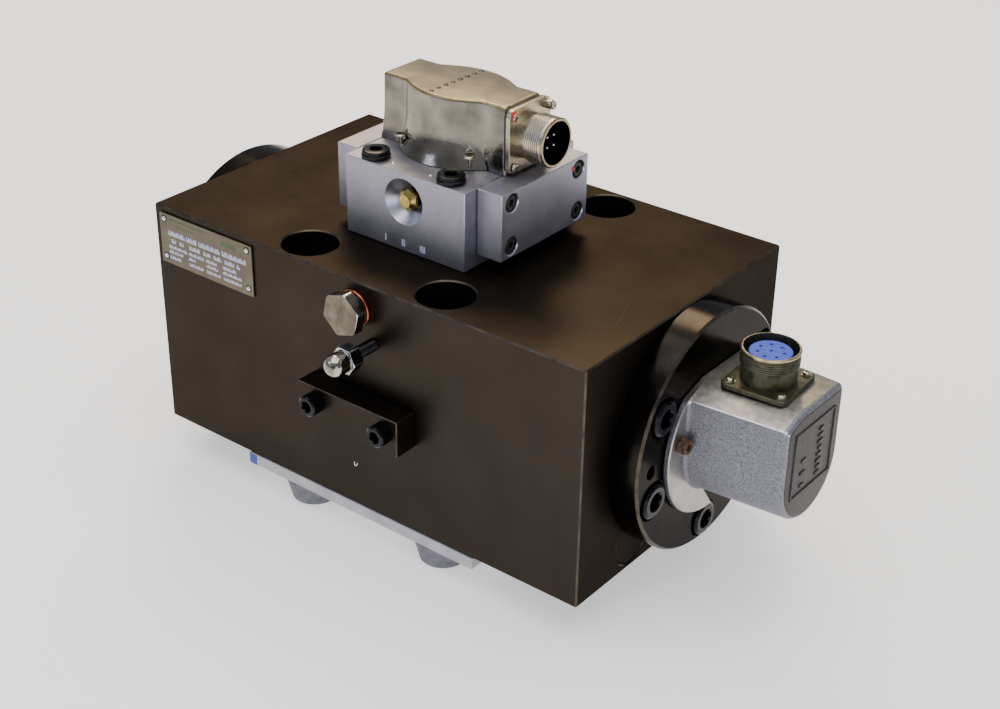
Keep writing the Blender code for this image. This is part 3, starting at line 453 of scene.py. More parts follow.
def collared_screw(head, height, socket, thread, length):
    """A low head screw, its head's top at z = 0: a collar, a groove and a narrower ring above it."""
    count = SMALL_ROUND
    radius = head / 2
    rings = [ring(thread / 2, z, count) for z in (-height - length, -height)]
    profile = [(radius - 0.0003, -height), (radius, 0.0003 - height), (radius, -0.62 * height),
               (radius - 0.0003, -0.55 * height), (0.90 * radius, -0.50 * height),
               (0.90 * radius, -0.40 * height), (0.95 * radius, -0.34 * height),
               (0.95 * radius, -0.12 * height), (0.91 * radius, -0.03 * height), (0.86 * radius, 0)]
    rings += [ring(reach, z, count) for reach, z in profile]
    return loft(rings + hexagon_socket(socket, height, count))


def cross_screw(radius, height, washer=0.0, shank=0.003):
    """A pan head screw with a cross recess, standing on z = 0 or on a washer of that radius."""
    profile = [(0.5 * radius, -shank), (0.5 * radius, 0)]
    base = 0.0
    if washer:
        base = 0.0004
        profile += [(washer, 0), (washer, base), (radius, base)]
    steps = 6
    for step in range(steps):
        angle = math.pi / 2 * step / steps
        reach = radius * (0.55 + 0.45 * math.cos(angle))
        profile.append((reach, base + height * (0.5 + 0.5 * math.sin(angle))))
    top = base + height
    profile.append((0.3 * radius, top))
    head = turned(profile, SMALL_ROUND)
    long, wide, deep = 0.62 * radius, 0.14 * radius, 0.55 * height
    arm = chamfered((-long, -wide, -deep), (long, wide, 0.001), 0.00002)
    across = carved(head, [(arm, shift(z=top))])
    return carved(across, [(arm, shift(z=top) @ Matrix.Rotation(math.pi / 2, 4, "Z"))])


def threaded(radius, low, high, pitch, depth):
    """(radius, z) pairs along a thread: radius at its crests, and a positive depth down to its roots."""
    profile = []
    turns = round((high - low) / pitch)
    for turn in range(turns):
        z = low + turn * pitch
        for sunk, along in ((1.0, 0.08), (0.3, 0.30), (0.0, 0.46), (0.0, 0.62), (0.3, 0.78)):
            profile.append((radius - sunk * depth, z + along * pitch))
    return profile


# ---- placing ------------------------------------------------------------------------------
def middle_of(node):
    low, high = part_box(node)
    return (low + high) / 2


def outer_end(node, axis):
    """The place where a node ends along an axis, with +Z turned to it."""
    low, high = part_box(node)
    point = (low + high) / 2
    index = "xyz".index(axis[1])
    point[index] = high[index] if axis[0] == "+" else low[index]
    return Matrix.Translation(point) @ TURNS[axis]


def inner_end(node, axis):
    """The place where a node begins along an axis, with +Z turned to it."""
    low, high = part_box(node)
    point = (low + high) / 2
    index = "xyz".index(axis[1])
    point[index] = low[index] if axis[0] == "+" else high[index]
    return Matrix.Translation(point) @ TURNS[axis]


def piece(name, mesh, finish, at=None, stands_for=(), body="cylinder"):
    """A finished piece that rides on a body, and stands for CAD nodes where it names them."""
    obj = bpy.data.objects.new(name, mesh)
    bpy.context.scene.collection.objects.link(obj)
    obj.matrix_world = at or Matrix.Identity(4)
    if not mesh.materials or not mesh.materials[0]:
        mesh.materials.clear()
        mesh.materials.append(look(finish))
    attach(obj, body)
    if stands_for:
        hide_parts(*stands_for)
    return obj


def paint_faces(mesh, finishes, choose):
    """Gives each face the finish that choose(face) names."""
    mesh.materials.clear()
    for finish in finishes:
        mesh.materials.append(look(finish))
    for face in mesh.polygons:
        face.material_index = finishes.index(choose(face))
    return mesh


def square_to_axes(face):
    return max(abs(c) for c in face.normal) > 0.999


# ---- block, base and front fittings -------------------------------------------------------
def make_block():
    low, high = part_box("main_block")
    axis = middle_of("rear_head")
    seat = sink(SEAT_RADIUS, SEAT_DEPTH, SEAT_HOLE_RADIUS, high.z - low.z + 0.01, 0.0006)
    tools = []
    for opening in frame["record"]["physics"]["openings"]:
        if opening["name"].startswith("counterbore"):
            start, end = opening["box_m"]
            tools.append((seat, shift((start[0] + end[0]) / 2, (start[1] + end[1]) / 2, high.z)))
    reach = (high.x - low.x) / 2 + 0.01
    bore = turned([(BORE_RADIUS, -reach), (BORE_RADIUS, reach)])
    tools.append((bore, shift((low.x + high.x) / 2, axis.y, axis.z) @ TURNS["+x"]))
    plug = middle_of("gallery_plug")
    tools.append((sink(0.0115, 0.010), shift(high.x, plug.y, plug.z) @ TURNS["+x"]))
    mesh = carved(chamfered(low, high, BLOCK_CHAMFER), tools)

    # chamfer faces get the lighter edge tone, a painted highlight along the block's edges
    def choose(face):
        gaps = [abs(face.center[i] - side[i]) for side in (low, high) for i in range(3)]
        on_edge = min(gaps) < BLOCK_CHAMFER
        return "oxide_edge_highlight" if on_edge and not square_to_axes(face) else "black_oxide"

    paint_faces(mesh, ["black_oxide", "oxide_edge_highlight"], choose)
    piece("block_body", mesh, "black_oxide", stands_for=["main_block"])
    make_block_marks(low, high)

    rings = [ring(radius, z) for radius, z in ((0.0112, -0.0094), (0.0112, -0.0004), (0.0109, 0))]
    piece("port_plug", loft(rings), "black_oxide", outer_end("gallery_plug", "+x"), ["gallery_plug"])


def make_block_marks(low, high):
    """A curved scratch on the top, by the rear head, and a small nick low on the front."""
    half_width = 0.00014
    proud = 0.00006
    steps = 24
    bends = [(-0.0230, 0.0655), (-0.0160, 0.0490), (-0.0070, 0.0290), (-0.0195, 0.0303)]
    bends = [Vector((high.x + x, low.y + y, high.z)) for x, y in bends]
    rings = []
    for step in range(steps + 1):
        t = step / steps
        shares = ((1 - t) ** 3, 3 * t * (1 - t) ** 2, 3 * t * t * (1 - t), t ** 3)
        slopes = (-(1 - t) ** 2, (1 - t) * (1 - 3 * t), t * (2 - 3 * t), t * t)
        centre = sum((bend * share for bend, share in zip(bends, shares)), Vector())
        ahead = sum((bend * slope for bend, slope in zip(bends, slopes)), Vector()).normalized()
        across = Vector((ahead.y, -ahead.x, 0)) * half_width
        lift = Vector((0, 0, proud))
        rings.append([centre - across - lift, centre + across - lift, centre + across + lift,
                      centre - across + lift])
    piece("top_scratch", loft(rings), "black_screw")
    stroke = chamfered((-0.0011, -0.00022, -proud), (0.0011, 0.00022, proud), 0.00003)
    at = shift(low.x + 0.1225, low.y, low.z + 0.0212) @ TURNS["-y"]
    strokes = []
    for x, turn in ((0, 100), (0.0013, 60)):
        strokes.append((stroke, shift(x) @ Matrix.Rotation(math.radians(turn), 4, "Z")))
    piece("front_nick", joined(strokes), "bare_metal_and_edge_highlight", at)


def make_base():
    low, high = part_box("base_plate")
    mesh = chamfered(low, high, 0.0004)
    piece("plate", mesh, "plate_metal", stands_for=["base_plate"])
    sticker = rounded_plate(0.0024, 0.0027, 0.0004, 0.0, 0.00010, 0.00003)
    at = shift(low.x + 0.0028, low.y, (low.z + high.z) / 2) @ TURNS["-y"]
    piece("plate_sticker", sticker, "blue_sticker", at)
    for name in ("foot_front_left", "foot_front_right", "foot_rear_left", "foot_rear_right"):
        foot_low, foot_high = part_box(name)
        height = foot_high.z - foot_low.z
        top = (foot_high.x - foot_low.x) / 2
        bottom = FOOT_BASE_RADIUS
        profile = [(0.0035, 0.0025), (0.0035, 0.0004), (0.0040, 0), (bottom - 0.0010, 0)]
        profile += [(bottom - 0.0003, 0.0003), (bottom, 0.0010)]
        steps = 6
        for step in range(1, steps):
            along = step / steps
            profile.append((bottom + (top - bottom) * along ** 1.15, 0.0010 + (height - 0.0018) * along))
        profile += [(top, height - 0.0008), (top - 0.0003, height - 0.0001), (top - 0.0010, height)]
        piece(name + "_rubber", turned(profile), "foot_rubber", inner_end(name, "+z"), [name])
        screw = cross_screw(0.0030, 0.0012)
        turn = Matrix.Rotation(math.pi, 4, "X")
        piece(name + "_screw", screw, "black_screw", inner_end(name, "+z") @ shift(z=0.0026) @ turn)


def make_cover_plate():
    low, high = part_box("cover_plate")
    hole = turned([(0.0034, -0.03), (0.0034, 0.02)], SMALL_ROUND)
    nodes = ["cover_plate_screw_left", "cover_plate_screw_right"]
    mesh = carved(chamfered(low, high, 0.0004), [(hole, outer_end(node, "-y")) for node in nodes])

    # the plate's chamfers get the lighter edge tone, a painted edge highlight
    def choose(face):
        return "black_oxide" if square_to_axes(face) else "oxide_edge_highlight"

    paint_faces(mesh, ["black_oxide", "oxide_edge_highlight"], choose)
    piece("clamp_plate", mesh, "black_oxide", stands_for=["cover_plate"])
    screw = socket_screw(0.010, 0.006, 0.005, 0.006, 0.022)
    for node in nodes:
        piece(node + "_body", screw, "black_screw", outer_end(node, "-y"), [node])


def make_plug_and_nut():
    at = inner_end("copper_washer", "-y")
    profile = [(0.0068, 0.0002), (0.0070, 0), (0.0086, 0), (0.0088, 0.0003), (0.0088, 0.0012),
               (0.0086, 0.0015), (0.0070, 0.0015), (0.0068, 0.0013)]
    piece("plug_washer", turned(profile, closed=True), "copper", at, ["copper_washer"])

    turn = math.radians(47.3)
    flats, low, high = 0.0092, 0.0042, 0.0093
    rings = [ring(radius, z, turn=turn) for radius, z in ((0.0064, -0.012), (0.0064, 0.0018))]
    rings += [ring(0.0080, z, turn=turn) for z in (0.0018, low)]
    mesh = loft(rings + hexagon_head(flats, low, high, turn, 1.09))
    # the hexagon's corners and broken edges are painted bright: a painted highlight
    paint_hexagon(mesh, flats, low, high + GAP, "plug_steel", "bare_metal_and_edge_highlight", "plug_steel")
    piece("plug_body", mesh, "ground_steel", at, ["hex_plug"])

    centre = middle_of("throttle_needle")
    at = shift(centre.x, at.translation.y, centre.z) @ TURNS["-y"]
    profile = [(0.0004, -0.0175), (0.0024, -0.0130), (0.0024, -0.0080), (0.0028, -0.0080)]
    profile += threaded(0.0030, -0.002, 0.0205, 0.0010, 0.0003)
    profile += [(0.0030, 0.0205), (0.0024, 0.0212)]
    piece("needle_stud", turned(profile, SMALL_ROUND), "black_screw", at, ["throttle_needle"])
    make_cap_nut(at)


def make_cap_nut(at):
    """A dome nut with a blind thread, its hexagon towards the block."""
    turn = math.radians(25.4)
    thread, flats, dome = 0.0033, 0.0058, 0.0051
    base, shoulder, top = 0.0120, 0.0182, 0.0279
    rings = [ring(thread, 0.0220, turn=turn), ring(thread, base + 0.0006, turn=turn)]
    rings += hexagon_head(flats, base, shoulder, turn, 1.05)
    rings += [ring(dome + 0.0002, shoulder, turn=turn), ring(dome, shoulder + GAP, turn=turn)]
    steps = 12
    for step in range(steps):
        angle = math.pi / 2 * step / steps
        rings.append(ring(dome * math.cos(angle), top - dome + dome * math.sin(angle), turn=turn))
    rings.append(ring(0.0001, top, turn=turn))
    # painted light on the nut: dark facets are painted dark reflections, bright corners and edges painted
    # highlights, dark and bright patches over the dome painted reflections
    mesh = paint_hexagon(loft(rings), flats, base, shoulder, "chrome_painted_dark", "bare_metal_and_edge_highlight", "dome_painted_reflections")
    piece("cap_nut_body", mesh, "chrome", at, ["cap_nut"])


LABEL_ROWS = [  # distance from the plate's top, height of the strokes, and each word's two ends
    (0.0092, 0.0025, [(0.0054, 0.0162), (0.0172, 0.0245), (0.0256, 0.0395), (0.0407, 0.0560)]),
    (0.0130, 0.0020, [(0.0072, 0.0100), (0.0124, 0.0158), (0.0190, 0.0262), (0.0284, 0.0333),
                      (0.0350, 0.0402), (0.0423, 0.0484), (0.0500, 0.0524)]),
    (0.0162, 0.0016, [(0.0052, 0.0174), (0.0186, 0.0288), (0.0300, 0.0372), (0.0410, 0.0497)]),
    (0.0188, 0.0015, [(0.0050, 0.0144), (0.0180, 0.0230), (0.0300, 0.0376), (0.0406, 0.0530)]),
    (0.0217, 0.0015, [(0.0053, 0.0128), (0.0184, 0.0276), (0.0298, 0.0392), (0.0410, 0.0524)]),
]
LABEL_HEADER = [
    (0.0022, 0.0009, [(0.0068, 0.0310)]),
    (0.0049, 0.0009, [(0.0105, 0.0233)]),
    (0.0042, 0.0018, [(0.0402, 0.0504)]),
]


def label_strokes(rows, half_x, half_y):
    """One mesh of upright strokes that stand for the words in rows."""
    pitch = 0.00078
    proud = 0.00007
    parts = []
    for number, (drop, tall, words) in enumerate(rows):
        for start, end in words:
            count = round((end - start) / pitch)
            for place in range(count):
                short = 0.55 if (5 * place + 3 * number) % 4 == 1 else 1.0
                x = start + (place + 0.5) * pitch - half_x
                y = half_y - drop - tall * (1 - short) / 2
                wide = pitch * (0.38 if place % 3 else 0.28)
                low = (x - wide, y - tall * short / 2, -proud)
                stroke = chamfered(low, (x + wide, y + tall * short / 2, proud), 0.00002)
                parts.append((stroke, shift()))
    return joined(parts)


def make_nameplate():
    low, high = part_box("nameplate")
    half_x = (high.x - low.x) / 2
    half_y = (high.z - low.z) / 2
    at = outer_end("nameplate", "-y")
    plate = rounded_plate(half_x, half_y, 0.0006, low.y - high.y, 0, 0.0001)
    piece("label_plate", plate, "label_metal", at, ["nameplate"])
    collar = turned([(0.0017, -0.0005), (0.0017, 0.0001), (0.0014, 0.0002), (0.0012, 0.0001)], SMALL_ROUND)
    profile = [(0.0012, -0.0005), (0.0012, 0.0001), (0.0010, 0.0004), (0.0006, 0.0006), (0.0002, 0.00065)]
    rivet = turned(profile, SMALL_ROUND)
    corners = [(sx * (half_x - 0.0031), y) for sx in (-1, 1) for y in (half_y - 0.0027, 0.0036 - half_y)]
    piece("label_rivet_collars", joined([(collar, shift(x, y)) for x, y in corners]), "black_screw", at)
    piece("label_rivets", joined([(rivet, shift(x, y)) for x, y in corners]), "bare_metal_and_edge_highlight", at)
    piece("label_lines", label_strokes(LABEL_ROWS, half_x, half_y), "label_marks", at)
    piece("label_header", label_strokes(LABEL_HEADER, half_x, half_y), "label_green", at)


# ---- heads and rod ------------------------------------------------------------------------
def make_heads():
    block_low, block_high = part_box("main_block")
    for side, axis, bore in (("rear", "+x", 0.0093), ("rod", "-x", 0.0204)):
        low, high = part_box(side + "_head")
        thick = max(high.x - block_high.x, block_low.x - low.x) - GAP
        inner = BUSH_RADIUS if side == "rod" else bore
        profile = head_profile((high.y - low.y) / 2, high.x - low.x, thick, inner)
        if side == "rod":
            profile += gland_grooves(bore, thick)
        else:
            profile += [(bore, 0)]
        head = turned(profile, 144, True)
        at = outer_end(side + "_head", axis)
        origin = at.translation
        through = sink(HEAD_SEAT_RADIUS, HEAD_SEAT_DEPTH, 0.0054, thick + 0.005, 0.0005)
        tools = []
        for number in range(1, HEAD_SCREWS + 1):
            place = middle_of(f"{side}_head_screw_{number}")
            tools.append((through, at.inverted() @ shift(origin.x, place.y, place.z) @ TURNS[axis]))
        circle = math.hypot(place.y - origin.y, place.z - origin.z)
        jack = sink(JACK_HOLE_RADIUS, JACK_HOLE_DEPTH)
        for turn in JACK_HOLE_ANGLES:
            y, z = circle * math.cos(turn), circle * math.sin(turn)
            tools.append((jack, at.inverted() @ shift(origin.x, origin.y + y, origin.z + z) @ TURNS[axis]))
        mesh = carved(head, tools)
        rim = (high.y - low.y) / 2 - 1.2 * HEAD_CHAMFER

        # the rim's chamfer gets the lighter edge tone, a painted highlight round the head's rim
        def choose(face):
            on_rim = face.center.xy.length > rim and face.center.z > -2 * HEAD_CHAMFER
            return "oxide_edge_highlight" if on_rim and 0.2 < abs(face.normal.z) < 0.95 else "oxide_turned"

        paint_faces(mesh, ["oxide_turned", "oxide_edge_highlight"], choose)
        piece(side + "_head_body", mesh, "oxide_turned", at, [side + "_head"])
    make_head_screws()


def make_head_screws():
    screw = socket_screw(0.016, 0.010, 0.008, 0.010, 0.022)
    for side, axis in (("rear", "+x"), ("rod", "-x")):
        for number in range(1, HEAD_SCREWS + 1):
            node = f"{side}_head_screw_{number}"
            piece(node + "_body", screw, "black_screw", outer_end(node, axis), [node])


def head_profile(radius, length, thick, bore):
    """A head's outline from its spigot's end, round its rim, to its face at z = 0."""
    spigot = HEAD_SPIGOT_RADIUS
    edge = 0.0004
    return [(bore, -length), (spigot - 0.001, -length), (spigot, 0.001 - length), (spigot, -thick),
            (radius - edge, -thick), (radius, edge - thick), (radius, -HEAD_CHAMFER),
            (radius - HEAD_CHAMFER, 0)]


def gland_grooves(bore, thick):
    """The rod head's inside from its face: seats for the wiper, the seal and the bush."""
    bush = BUSH_RADIUS
    profile = [(bush + 0.0004, 0), (bush, -0.0004), (bush, -0.006), (bore, -0.006)]
    profile += [(bore, -thick - 0.004), (bush, -thick - 0.004), (bush, -thick - 0.010)]
    return profile + [(bore, -thick - 0.010), (bore, -thick - 0.014), (bush, -thick - 0.014)]


def make_rod():
    low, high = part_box("piston_rod")
    length = high.x - low.x
    neck = 0.0149  # the piston sits on it
    shoulder = 0.0443 - length
    magnet_seat = 0.0088 - length
    profile = [(0.0125, -length), (neck, -length), (neck, shoulder), (ROD_RADIUS, shoulder), (ROD_RADIUS, 0),
               (0.0065, 0), (0.0065, magnet_seat), (0.0125, magnet_seat)]
    mesh = turned(profile, closed=True)
    piece("rod_body", mesh, "chrome", outer_end("piston_rod", "-x"), ["piston_rod"], body="rod")
    low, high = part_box("rod_end")
    length = high.x - low.x
    thread = [(r, -z) for r, z in threaded(0.0112, 0.0016, 0.0260, 0.0015, 0.0006)]
    profile = [(0.0105, -length), (ROD_RADIUS, -length), (ROD_RADIUS, -0.0020),
               (ROD_RADIUS - 0.0006, -0.0009), (ROD_RADIUS - 0.0018, -0.0001), (ROD_RADIUS - 0.0024, 0),
               (0.0120, 0), (0.0106, -0.0012)]
    mesh = turned(profile + thread, closed=True)
    piece("rod_tapped_end", mesh, "chrome", outer_end("rod_end", "-x"), ["rod_end"], body="rod")


# ---- position transducer ------------------------------------------------------------------
def housing_section(half_width, x, inset=0.0):
    """The housing's outline at one x: flat top, bevelled front, straight sides, round bottom."""
    radius = half_width - inset
    top = HOUSING_TOP - max(0.0, inset)
    corner = 0.0022
    bevel_low = top - BEVEL_SLOPE * (radius + BEVEL_Y)
    points = []
    for step in range(7):
        angle = math.pi / 2 * step / 6
        points.append((radius - corner + corner * math.cos(angle), top - corner + corner * math.sin(angle)))
    points += [(BEVEL_Y, top)]
    edge = 0.0008
    points += [(edge - radius, bevel_low + BEVEL_SLOPE * edge),
               (0.25 * edge - radius, bevel_low - 0.15 * edge), (-radius, bevel_low - edge)]
    steps = 40
    for step in range(steps + 1):
        angle = math.pi + math.pi * step / steps
        points.append((radius * math.cos(angle), radius * math.sin(angle)))
    return [Vector((x, y, z)) for y, z in points]


def disc_section(x, inset=0.0):
    """The housing's disc: level with the flat top and the bevel, and cut away at the lower rear."""
    points = []
    top = HOUSING_TOP - 0.0004
    tip, rear_corner, stride = -89, -403, -2  # degrees from +Y towards +Z
    for degrees in range(tip, rear_corner + stride // 2, stride):
        angle = math.radians(degrees)
        reach = HOUSING_DISC_RADIUS - inset
        if math.sin(angle) > 0:
            reach = min(reach, top / math.sin(angle))
        over = math.sin(angle) - BEVEL_SLOPE * math.cos(angle)
        if over > 0:
            reach = min(reach, (top - BEVEL_SLOPE * BEVEL_Y) / over)
        points.append(Vector((x, reach * math.cos(angle), reach * math.sin(angle))))
    inside_body = ((0.0160, -0.0140), (-0.0060, -0.0220))
    for y, z in (*inside_body, (-0.0063 - inset, -0.0260)):
        points.append(Vector((x, y, z)))
    return points


def make_housing():
    low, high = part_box("transducer_housing")
    axis = middle_of("rear_head")
    at = shift(low.x, axis.y, axis.z)
    length = high.x - low.x - RELIEF
    piece("housing_body", housing_shell(length), "cast_aluminium", at, ["transducer_housing"])
    piece("housing_flange", housing_flange(), "cast_aluminium", at)
    piece("housing_marks", end_relief(HOUSING_HALF_WIDTH[1], length), "cast_dark", at)
    screw = socket_screw(0.007, 0.004, 0.003, 0.004, 0.011)
    for side in ("front", "rear"):
        node = "housing_screw_" + side
        piece(node + "_body", screw, "rusty_screw", outer_end(node, "+x"), [node])


def housing_shell(length):
    """The housing's body, tapered, with a fillet at its disc and a rounded end."""
    near, far = HOUSING_HALF_WIDTH
    fillet = 0.0020
    rounding = 0.0027

    def section(x, inset):
        return housing_section(near + (far - near) * x / length, x, inset)

    rings = [housing_section(near, 0.0003)]
    for step in range(6):
        angle = math.pi / 2 * step / 5
        x = HOUSING_DISC_THICKNESS - 0.0003 + fillet * (1 - math.cos(angle))
        rings.append(section(x, -fillet * (1 - math.sin(angle))))
    for step in range(8):
        angle = math.pi / 2 * step / 7
        x = length - rounding + rounding * math.sin(angle)
        rings.append(section(x, rounding * (1 - math.cos(angle))))
    bevel = Vector((0, -BEVEL_SLOPE, 1)).normalized()

    def choose(face):
        if face.normal.z > 0.995:
            return "milled_aluminium"
        if face.normal.dot(bevel) > 0.997:
            return "brushed_aluminium"
        if face.normal.x > 0.9 and face.center.x > HOUSING_DISC_THICKNESS + 0.01:
            return "cast_dark"
        under_bevel = -0.9 < face.normal.y < -0.4 and 0.1 < face.normal.z < 0.9
        return "bare_chamfer" if under_bevel and HOUSING_DISC_THICKNESS < face.center.x else "cast_aluminium"

    finishes = ["cast_aluminium", "milled_aluminium", "brushed_aluminium", "cast_dark", "bare_chamfer"]
    return paint_faces(loft(rings), finishes, choose)


def housing_flange():
    """The housing's disc, its outer face machined."""
    disc = HOUSING_DISC_THICKNESS
    edge = 0.0005
    rings = [disc_section(x, inset) for x, inset in ((0, edge), (edge, 0), (disc - edge, 0), (disc, edge))]

    def choose(face):
        return "faced_aluminium" if face.normal.x > 0.2 else "cast_aluminium"

    return paint_faces(loft(rings), ["cast_aluminium", "faced_aluminium"], choose)


def end_relief(half_width, length):
    """A raised frame and two columns of plain lugs, cast on the housing's end face."""
    wide = half_width - 0.0062
    low = -0.0080
    high = HOUSING_TOP - 0.0075
    rail = 0.0012
    bars = [((-wide, low), (-wide + rail, high)), ((wide - rail, low), (wide, high)),
            ((-wide, low), (wide, low + rail)), ((-wide, high - rail), (wide, high))]
    for column, count, y in ((0, 3, -0.0075), (1, 8, 0.0055)):
        for row in range(count):
            z = low + 0.0032 + row * (0.0031 + 0.0030 * (1 - column))
            reach = 0.0017 + 0.0003 * ((row * 2 + column) % 3)
            bars.append(((y - reach, z), (y + reach, z + 0.0017)))
    parts = []
    for (y0, z0), (y1, z1) in bars:
        bar = chamfered((length - 0.0006, y0, z0), (length + RELIEF, y1, z1), 0.00045, 2)
        parts.append((bar, shift()))
    return joined(parts)


def receptacle(name, node, at, shape, finishes, screws):
    """A flanged box receptacle: flange, threaded shell with a worn rim, and its fixing screws."""
    radius, reach, root = shape["radius"], shape["reach"], shape["root"]
    flange_finish, shell_finish, rim_finish, inner_finish = finishes
    half = screws["flange"] / 2
    bore = radius - shape["wall"]
    hole = turned([(bore, -0.01), (bore, 0.01)])
    plate = carved(rounded_plate(half, half, screws["corner"], 0.0, FLANGE_THICKNESS), [(hole, shift())])
    piece(name + "_flange", plate, flange_finish, at)
    profile = [(bore, reach), (bore - 0.0001, 0.0012), (radius - 0.0038, 0.0012), (radius - 0.0038, 0.0001),
               (root, 0.0001), (root, shape["thread_low"] - 0.0006)]
    low, high = shape["thread_low"], shape["thread_high"]
    profile += threaded(radius - 0.0001, low, high, shape["pitch"], shape["depth"])
    profile += [(radius - 0.0004, reach - 0.0013), (radius, reach - 0.0010), (radius, reach - 0.0004),
                (radius - 0.0005, reach)]
    mesh = turned(profile, closed=True)

    def choose(face):
        out = face.center.xy.length
        if face.center.z > reach - 0.0013 and out > bore + 0.00005:
            return rim_finish
        return inner_finish if out < bore + 0.00005 else shell_finish

    paint_faces(mesh, list(dict.fromkeys((shell_finish, rim_finish, inner_finish))), choose)
    piece(name + "_barrel", mesh, shell_finish, at, [node])
    half = screws["spacing"] / 2
    head = cross_screw(screws["radius"], screws["height"], screws["washer"])
    places = [(head, shift(sx * half, sy * half, FLANGE_THICKNESS)) for sx in (-1, 1) for sy in (-1, 1)]
    piece(name + "_flange_screws", joined(places), "nickel", at)


def make_sensor_connector():
    shape = {"radius": 0.0126, "reach": 0.0170, "root": 0.0119, "thread_low": 0.0098, "thread_high": 0.0156,
             "pitch": 0.0010, "depth": 0.00045, "wall": 0.0010}
    screws = {"flange": 0.0302, "corner": 0.0030, "spacing": 0.0232, "radius": 0.0017, "height": 0.0012,
              "washer": 0.0024}
    finishes = ("olive_cadmium", "olive_cadmium", "worn_gold", "olive_cadmium")
    node = "sensor_connector_shell"
    at = inner_end(node, "+z") @ Matrix.Rotation(math.radians(3.75), 4, "Z")
    receptacle("sensor_connector", node, at, shape, finishes, screws)
    low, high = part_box("sensor_connector_insert")
    height = high.z - low.z
    profile = [(0.0084, -height), (0.0084, 0.0053 - height), (0.0106, 0.0056 - height),
               (0.0106, 0.0070 - height), (0.0092, 0.0075 - height), (0.0092, -0.0004), (0.0088, 0)]
    contact = turned([(0.0006, -0.004), (0.0006, -0.0003), (0.0008, 0), (0.0008, 0.002)], 24)
    tools = [(contact, shift())]
    for step in range(7):
        angle = 2 * math.pi * (step + 0.3) / 7
        tools.append((contact, shift(0.0056 * math.cos(angle), 0.0056 * math.sin(angle))))
    insert = carved(turned(profile), tools)
    piece("sensor_insert", insert, "blue_insert", outer_end("sensor_connector_insert", "+z"),
          ["sensor_connector_insert"])


# ---- servo valve --------------------------------------------------------------------------



def make_valve_body():
    low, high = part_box("valve_body")
    middle = (low + high) / 2
    recess = NULL_RECESS
    null = middle_of("null_screw")
    cone = turned([(0.0028, -0.0295), (0.0028, -recess["hole"]), (recess["floor"], -recess["hole"]),
                   (recess["floor"], -recess["depth"]), (recess["mouth"], 0),
                   (recess["mouth"] + 0.001, 0.001)])
    sleeve = middle_of("valve_sleeve")
    bore = turned([(0.0088, -0.05), (0.0088, 0.05)])
    tools = [(cone, shift(null.x, low.y, null.z) @ TURNS["-y"]),
             (bore, shift(sleeve.x, sleeve.y, sleeve.z) @ TURNS["+x"])]
    bolt = turned([(0.0044, -0.05), (0.0044, 0.01)], SMALL_ROUND)
    screws = [f"valve_screw_{row}_{side}" for row in ("front", "rear") for side in ("left", "right")]
    for node in screws:
        place = middle_of(node)
        tools.append((bolt, shift(place.x, place.y, high.z)))
    mesh = carved(chamfered(low, high, 0.00035), tools)
    well = turned([(0.0045, sleeve.z + 0.0010 - high.z), (0.0045, 0.01)], SMALL_ROUND)
    mesh = carved(mesh, [(well, shift(middle.x, middle.y, high.z))])

    def choose(face):
        at_edge = sum(1 for i in range(3) if min(face.center[i] - low[i], high[i] - face.center[i]) < 0.0004)
        in_recess = math.hypot(face.center.x - null.x, face.center.z - null.z) < recess["mouth"]
        sunk = face.center.y > low.y + 0.0001 and face.normal.y < 0.99 and face.center.y < low.y + 0.02
        return "bare_chamfer" if at_edge > 1 or in_recess and sunk else "anodised"

    paint_faces(mesh, ["anodised", "bare_chamfer"], choose)
    piece("valve_body_shell", mesh, "anodised", stands_for=["valve_body"])
    screw = collared_screw(0.013, 0.0036, 0.0052, 0.008, 0.0489)
    for node in screws:
        piece(node + "_body", screw, "black_screw", outer_end(node, "+z"), [node])
    make_valve_marks(low, high)


def make_valve_marks(low, high):
    """Plain dashes for the ports on the front, and two pressed balls in the top."""
    middle = (low + high) / 2
    dash = rounded_plate(0.00045, 0.00165, 0.0003, 0, 0.0001, 0.00003, 4)
    places = []
    for count, x in ((1, -0.0108), (2, -0.0005), (3, 0.0105)):
        for number in range(count):
            places.append((dash, shift(x + 0.0011 * (number - (count - 1) / 2), 0.0038)))
    at = shift(middle.x, low.y, low.z) @ TURNS["-y"]
    piece("port_dashes", joined(places), "port_paint", at)
    ball = turned([(0.0009, -0.001), (0.0009, 0.0), (0.0006, 0.0003), (0.0002, 0.0004)], 24)
    balls = [(ball, shift(x, -0.0331)) for x in (-0.0110, 0.0102)]
    piece("pressed_balls", joined(balls), "chrome", shift(middle.x, middle.y, high.z))


